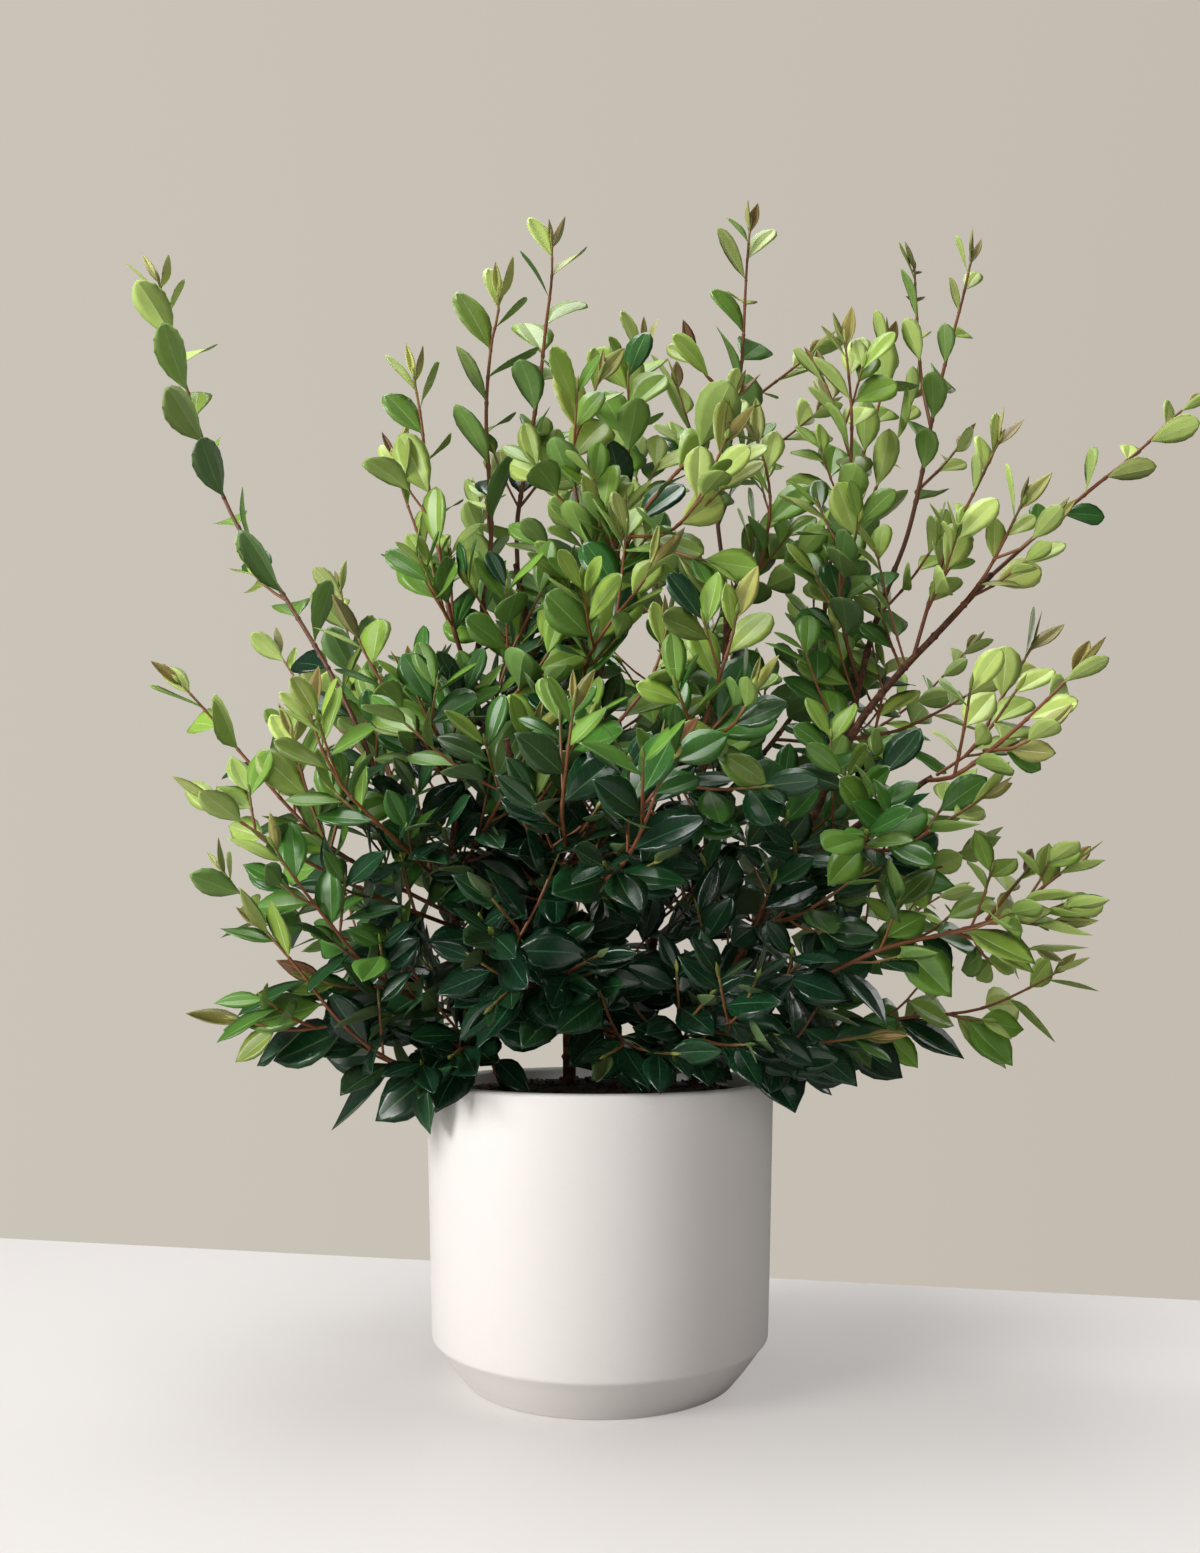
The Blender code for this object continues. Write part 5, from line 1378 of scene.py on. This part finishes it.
def unevenness_group():
    """A group that shades a colour unevenly, coarse and fine, and gives a height."""
    group = bpy.data.node_groups.new("unevenness", "ShaderNodeTree")
    for name, way, kind in (
        ("Colour", "INPUT", "Color"),
        ("Coarse scale", "INPUT", "Float"),
        ("Fine scale", "INPUT", "Float"),
        ("Contrast", "INPUT", "Float"),
        ("Colour", "OUTPUT", "Color"),
        ("Height", "OUTPUT", "Float"),
    ):
        group.interface.new_socket(name, in_out=way, socket_type="NodeSocket" + kind)
    given = group.nodes.new("NodeGroupInput").outputs
    coarse = noise_node(group, given["Coarse scale"], 3)
    fine = noise_node(group, given["Fine scale"], 2, 0.5)
    height = times(group, plus(group, coarse, fine), 0.5)
    offset = times(group, minus(group, height, 0.5), given["Contrast"])
    value = plus(group, times(group, offset, 4.0), 1.0)
    brighter = add_node(group, "HueSaturation", Value=value, Color=given["Colour"])
    feed(group, group.nodes.new("NodeGroupOutput"), Colour=brighter.outputs["Color"], Height=height)
    return group


def texture(tree, shader, colour, unevenness, relief, ridge=0.0):
    """Give a shader an uneven colour and relief: (coarse, fine, contrast), then (strength, distance)."""
    coarse, fine, contrast = unevenness
    strength, distance = relief
    group = add_node(tree, "Group")
    group.node_tree = UNEVENNESS
    feed(tree, group, Colour=colour, Coarse_scale=coarse, Fine_scale=fine, Contrast=contrast)
    height = plus(tree, ridge, group.outputs["Height"])
    bump = add_node(tree, "Bump", Strength=strength, Distance=distance, Height=height)
    feed(tree, shader, Base_Color=group.outputs["Colour"], Normal=bump.outputs["Normal"])


def ceramic_finish():
    material, tree, shader = new_finish("warm_white_ceramic", 0.46)
    texture(tree, shader, srgb(CERAMIC_COLOUR), (9, 700, 0.02), (0.05, 0.0004))
    return material


def mottled_finish(name, roughness, mottle, stops, unevenness, relief):
    """A finish whose colour runs through the stops by a noise of (scale, detail, roughness)."""
    material, tree, shader = new_finish(name, roughness)
    texture(tree, shader, ramp(tree, noise_node(tree, *mottle), stops), unevenness, relief)
    return material


def read_attribute(tree, name):
    node = add_node(tree, "Attribute")
    node.attribute_name = name
    return node.outputs


def looks_of(tree):
    """Read the three looks that each leaf and shoot carries."""
    return add_node(tree, "SeparateXYZ", Vector=read_attribute(tree, "looks")["Vector"]).outputs


def shoot_finish():
    material, tree, shader = new_finish("young_shoot", 0.5)
    texture(tree, shader, ramp(tree, looks_of(tree)[0], SHOOT_STOPS), (90, 900, 0.3), (0.4, 0.0005))
    return material


def leaf_finish():
    """Leaf colour by age and by painted light, with a fine paler midrib, side veins and margin, and a matte
    paler underside.
    """
    material, tree, shader = new_finish("camellia_leaf", 0.3)
    tone_and_light, chance, bronze = looks_of(tree)
    flat = add_node(tree, "SeparateXYZ", Vector=add_node(tree, "UVMap").outputs["UV"]).outputs
    across = math_node(tree, "ABSOLUTE", minus(tree, flat[0], 0.5))
    along = flat[1]
    share = math_node(tree, "MULTIPLY", bronze, BRONZE_STRENGTH, True)
    base = blend_colours(tree, share, ramp(tree, tone_and_light, LEAF_STOPS), ramp(tree, chance, BRONZE_STOPS))
    value = plus(tree, times(tree, chance, BRIGHTNESS_SPREAD), BRIGHTNESS)
    base = add_node(tree, "HueSaturation", Value=value, Color=base).outputs["Color"]
    slant = minus(tree, times(tree, along, VEINS), times(tree, across, VEIN_SLANT))
    vein = math_node(tree, "GREATER_THAN", math_node(tree, "FRACT", slant), VEIN_FROM)
    rib = math_node(tree, "LESS_THAN", across, minus(tree, RIB_WIDTH, times(tree, along, RIB_TAPER)))
    margin = math_node(tree, "GREATER_THAN", across, MARGIN_FROM)
    line = ramp(tree, tone_and_light, LINE_STOPS)
    for mask, strength in ((vein, VEIN_STRENGTH), (rib, RIB_STRENGTH), (margin, MARGIN_STRENGTH)):
        base = blend_colours(tree, times(tree, mask, strength), base, line)
    below = read_attribute(tree, "under")["Fac"]
    paler = blend_colours(tree, UNDER_STRENGTH, base, srgb(UNDER_COLOUR))
    base = blend_colours(tree, below, base, paler)
    above = plus(tree, times(tree, tone_and_light, YOUNG_ROUGHER), LEAST_ROUGH)
    rough = plus(tree, above, times(tree, below, UNDER_ROUGHER))
    feed(tree, shader, Specular_IOR_Level=GLOSS, Roughness=rough)
    ridge = times(tree, plus(tree, vein, rib), RIDGE_DEPTH)
    texture(tree, shader, base, (55, 140, 0.12), (0.10, 0.0003), ridge)
    return material


# Stage, light and camera. A light is (name, place, height that it is aimed at, size, power, colour)

TABLE_CORNERS = ((-2.6, -2.6), (2.6, -2.6), (2.6, -0.214), (-2.6, 0.887))
TABLE_GAP = 0.2 * MM
TABLE_COLOUR = (0.50, 0.484, 0.473, 1)
TABLE_PAINTED_LIGHT = (0.32, 0.304, 0.294, 1)
WALL_COLOURS = ("CBC4B9", "C3BBAF")
SURROUND_COLOUR = "F0EDE8"
SURROUND_STRENGTH = 0.155
LENS = 27.07
SENSOR_WIDTH = 36
SHIFT_UP = 0.133
LIGHTS = (
    ("window_left", (-2.25, -1.40, 1.00), 0.35, 1.1, 62, (1.0, 0.99, 0.97)),
    ("top_panel", (-0.3, 0.1, 3.6), 0.4, 1.9, 84, (1.0, 1.0, 1.0)),
    ("back_panel", (1.7, 1.7, 1.3), 0.35, 1.2, 9, (1.0, 1.0, 1.0)),
    ("front_fill", (0.3, -2.4, 1.2), 0.5, 1.4, 9, (1.0, 1.0, 0.98)),
)


def make_stage():
    """A pale table whose back edge runs behind the planter, with a painted glow for the camera alone that
    brightens it and lifts the shadows on it.
    """
    table = start("pale_table", bpy.ops.mesh.primitive_plane_add, size=1)
    corners = sorted(table.data.vertices, key=lambda corner: math.atan2(corner.co.y, corner.co.x))
    for corner, (x, y) in zip(corners, TABLE_CORNERS):
        corner.co = (x, y, -TABLE_GAP)
    material, tree, shader = new_finish("table_top", 0.6)
    # Painted light: a glow that only the camera sees, which brightens the table and lightens the shadows on
    # it
    seen = add_node(tree, "LightPath").outputs["Is Camera Ray"]
    feed(tree, shader, Base_Color=TABLE_COLOUR, Emission_Color=TABLE_PAINTED_LIGHT, Emission_Strength=seen)
    table.data.materials.append(material)


def make_backdrop():
    """A plain warm wall colour for the camera, and a weaker light from all round for the plant."""
    world = bpy.data.worlds.new("backdrop")
    bpy.context.scene.world = world
    world.use_nodes = True
    tree = world.node_tree
    direction = add_node(tree, "SeparateXYZ", Vector=add_node(tree, "TexCoord").outputs["Generated"])
    share = math_node(tree, "ADD", direction.outputs[0], 0.5, True)
    wall = tree.nodes["Background"]
    feed(tree, wall, Color=blend_colours(tree, share, *map(srgb, WALL_COLOURS)))
    surround = add_node(tree, "Background", Color=srgb(SURROUND_COLOUR), Strength=SURROUND_STRENGTH)
    either = add_node(tree, "MixShader", Fac=add_node(tree, "LightPath").outputs["Is Camera Ray"])
    connect(tree, either.inputs[1], surround.outputs[0])
    connect(tree, either.inputs[2], wall.outputs[0])
    feed(tree, tree.nodes["World Output"], Surface=either.outputs[0])


def light_scene():
    for name, place, aim, size, power, colour in LIGHTS:
        light = start(name, bpy.ops.object.light_add, type="AREA", location=place)
        light.data.shape = "SQUARE"
        light.data.size = size
        light.data.energy = power
        light.data.color = colour
        light.rotation_euler = (Vector((0, 0, aim)) - Vector(place)).to_track_quat("-Z", "Y").to_euler()


def place_camera():
    level = (math.pi / 2, 0, 0)
    camera = start("photo_camera", bpy.ops.object.camera_add, location=FRONT_EYE, rotation=level)
    camera.data.lens = LENS
    camera.data.sensor_width = SENSOR_WIDTH
    camera.data.shift_y = SHIFT_UP
    camera.data.clip_start = 0.01
    bpy.context.scene.camera = camera
    bpy.context.scene.view_settings.view_transform = "Standard"


# The whole scene

UNEVENNESS = unevenness_group()
CERAMIC = ceramic_finish()
SOIL = mottled_finish("potting_mix", 0.95, (420, 4, 0.7), SOIL_STOPS, (60, 900, 0.5), (0.9, 0.0015))
BARK = mottled_finish("trunk_bark", 0.85, (160, 5, 0.65), BARK_STOPS, (45, 600, 0.35), (0.8, 0.001))
SHOOT = shoot_finish()
LEAF = leaf_finish()


def dress():
    """Grow the plant, and turn it, its planter and its soil into fine pieces."""
    wood, axes, grown = grow_fully()
    forms = {name: model_leaf(name + "_leaf", *form) for name, form in LEAF_FORMS.items()}
    forms["bud"] = model_bud()
    forms["crumb"] = model_crumb()
    for node in [row[0] for row in STEMS + TRUNKS]:
        borne = [axis for axis in axes if axis.node == node]
        leaves = [item for item in grown if item[0].node == node]
        trunk = [axis for axis in wood if axis.node == node]
        if trunk:
            dress_trunk(node, trunk)
        dress_stem(node + "_twigs" if trunk else node, node, borne, leaves, forms)
    make_planter()
    make_soil(forms)
    for form in forms.values():
        bpy.data.objects.remove(form)


dress()
make_stage()
make_backdrop()
light_scene()
place_camera()
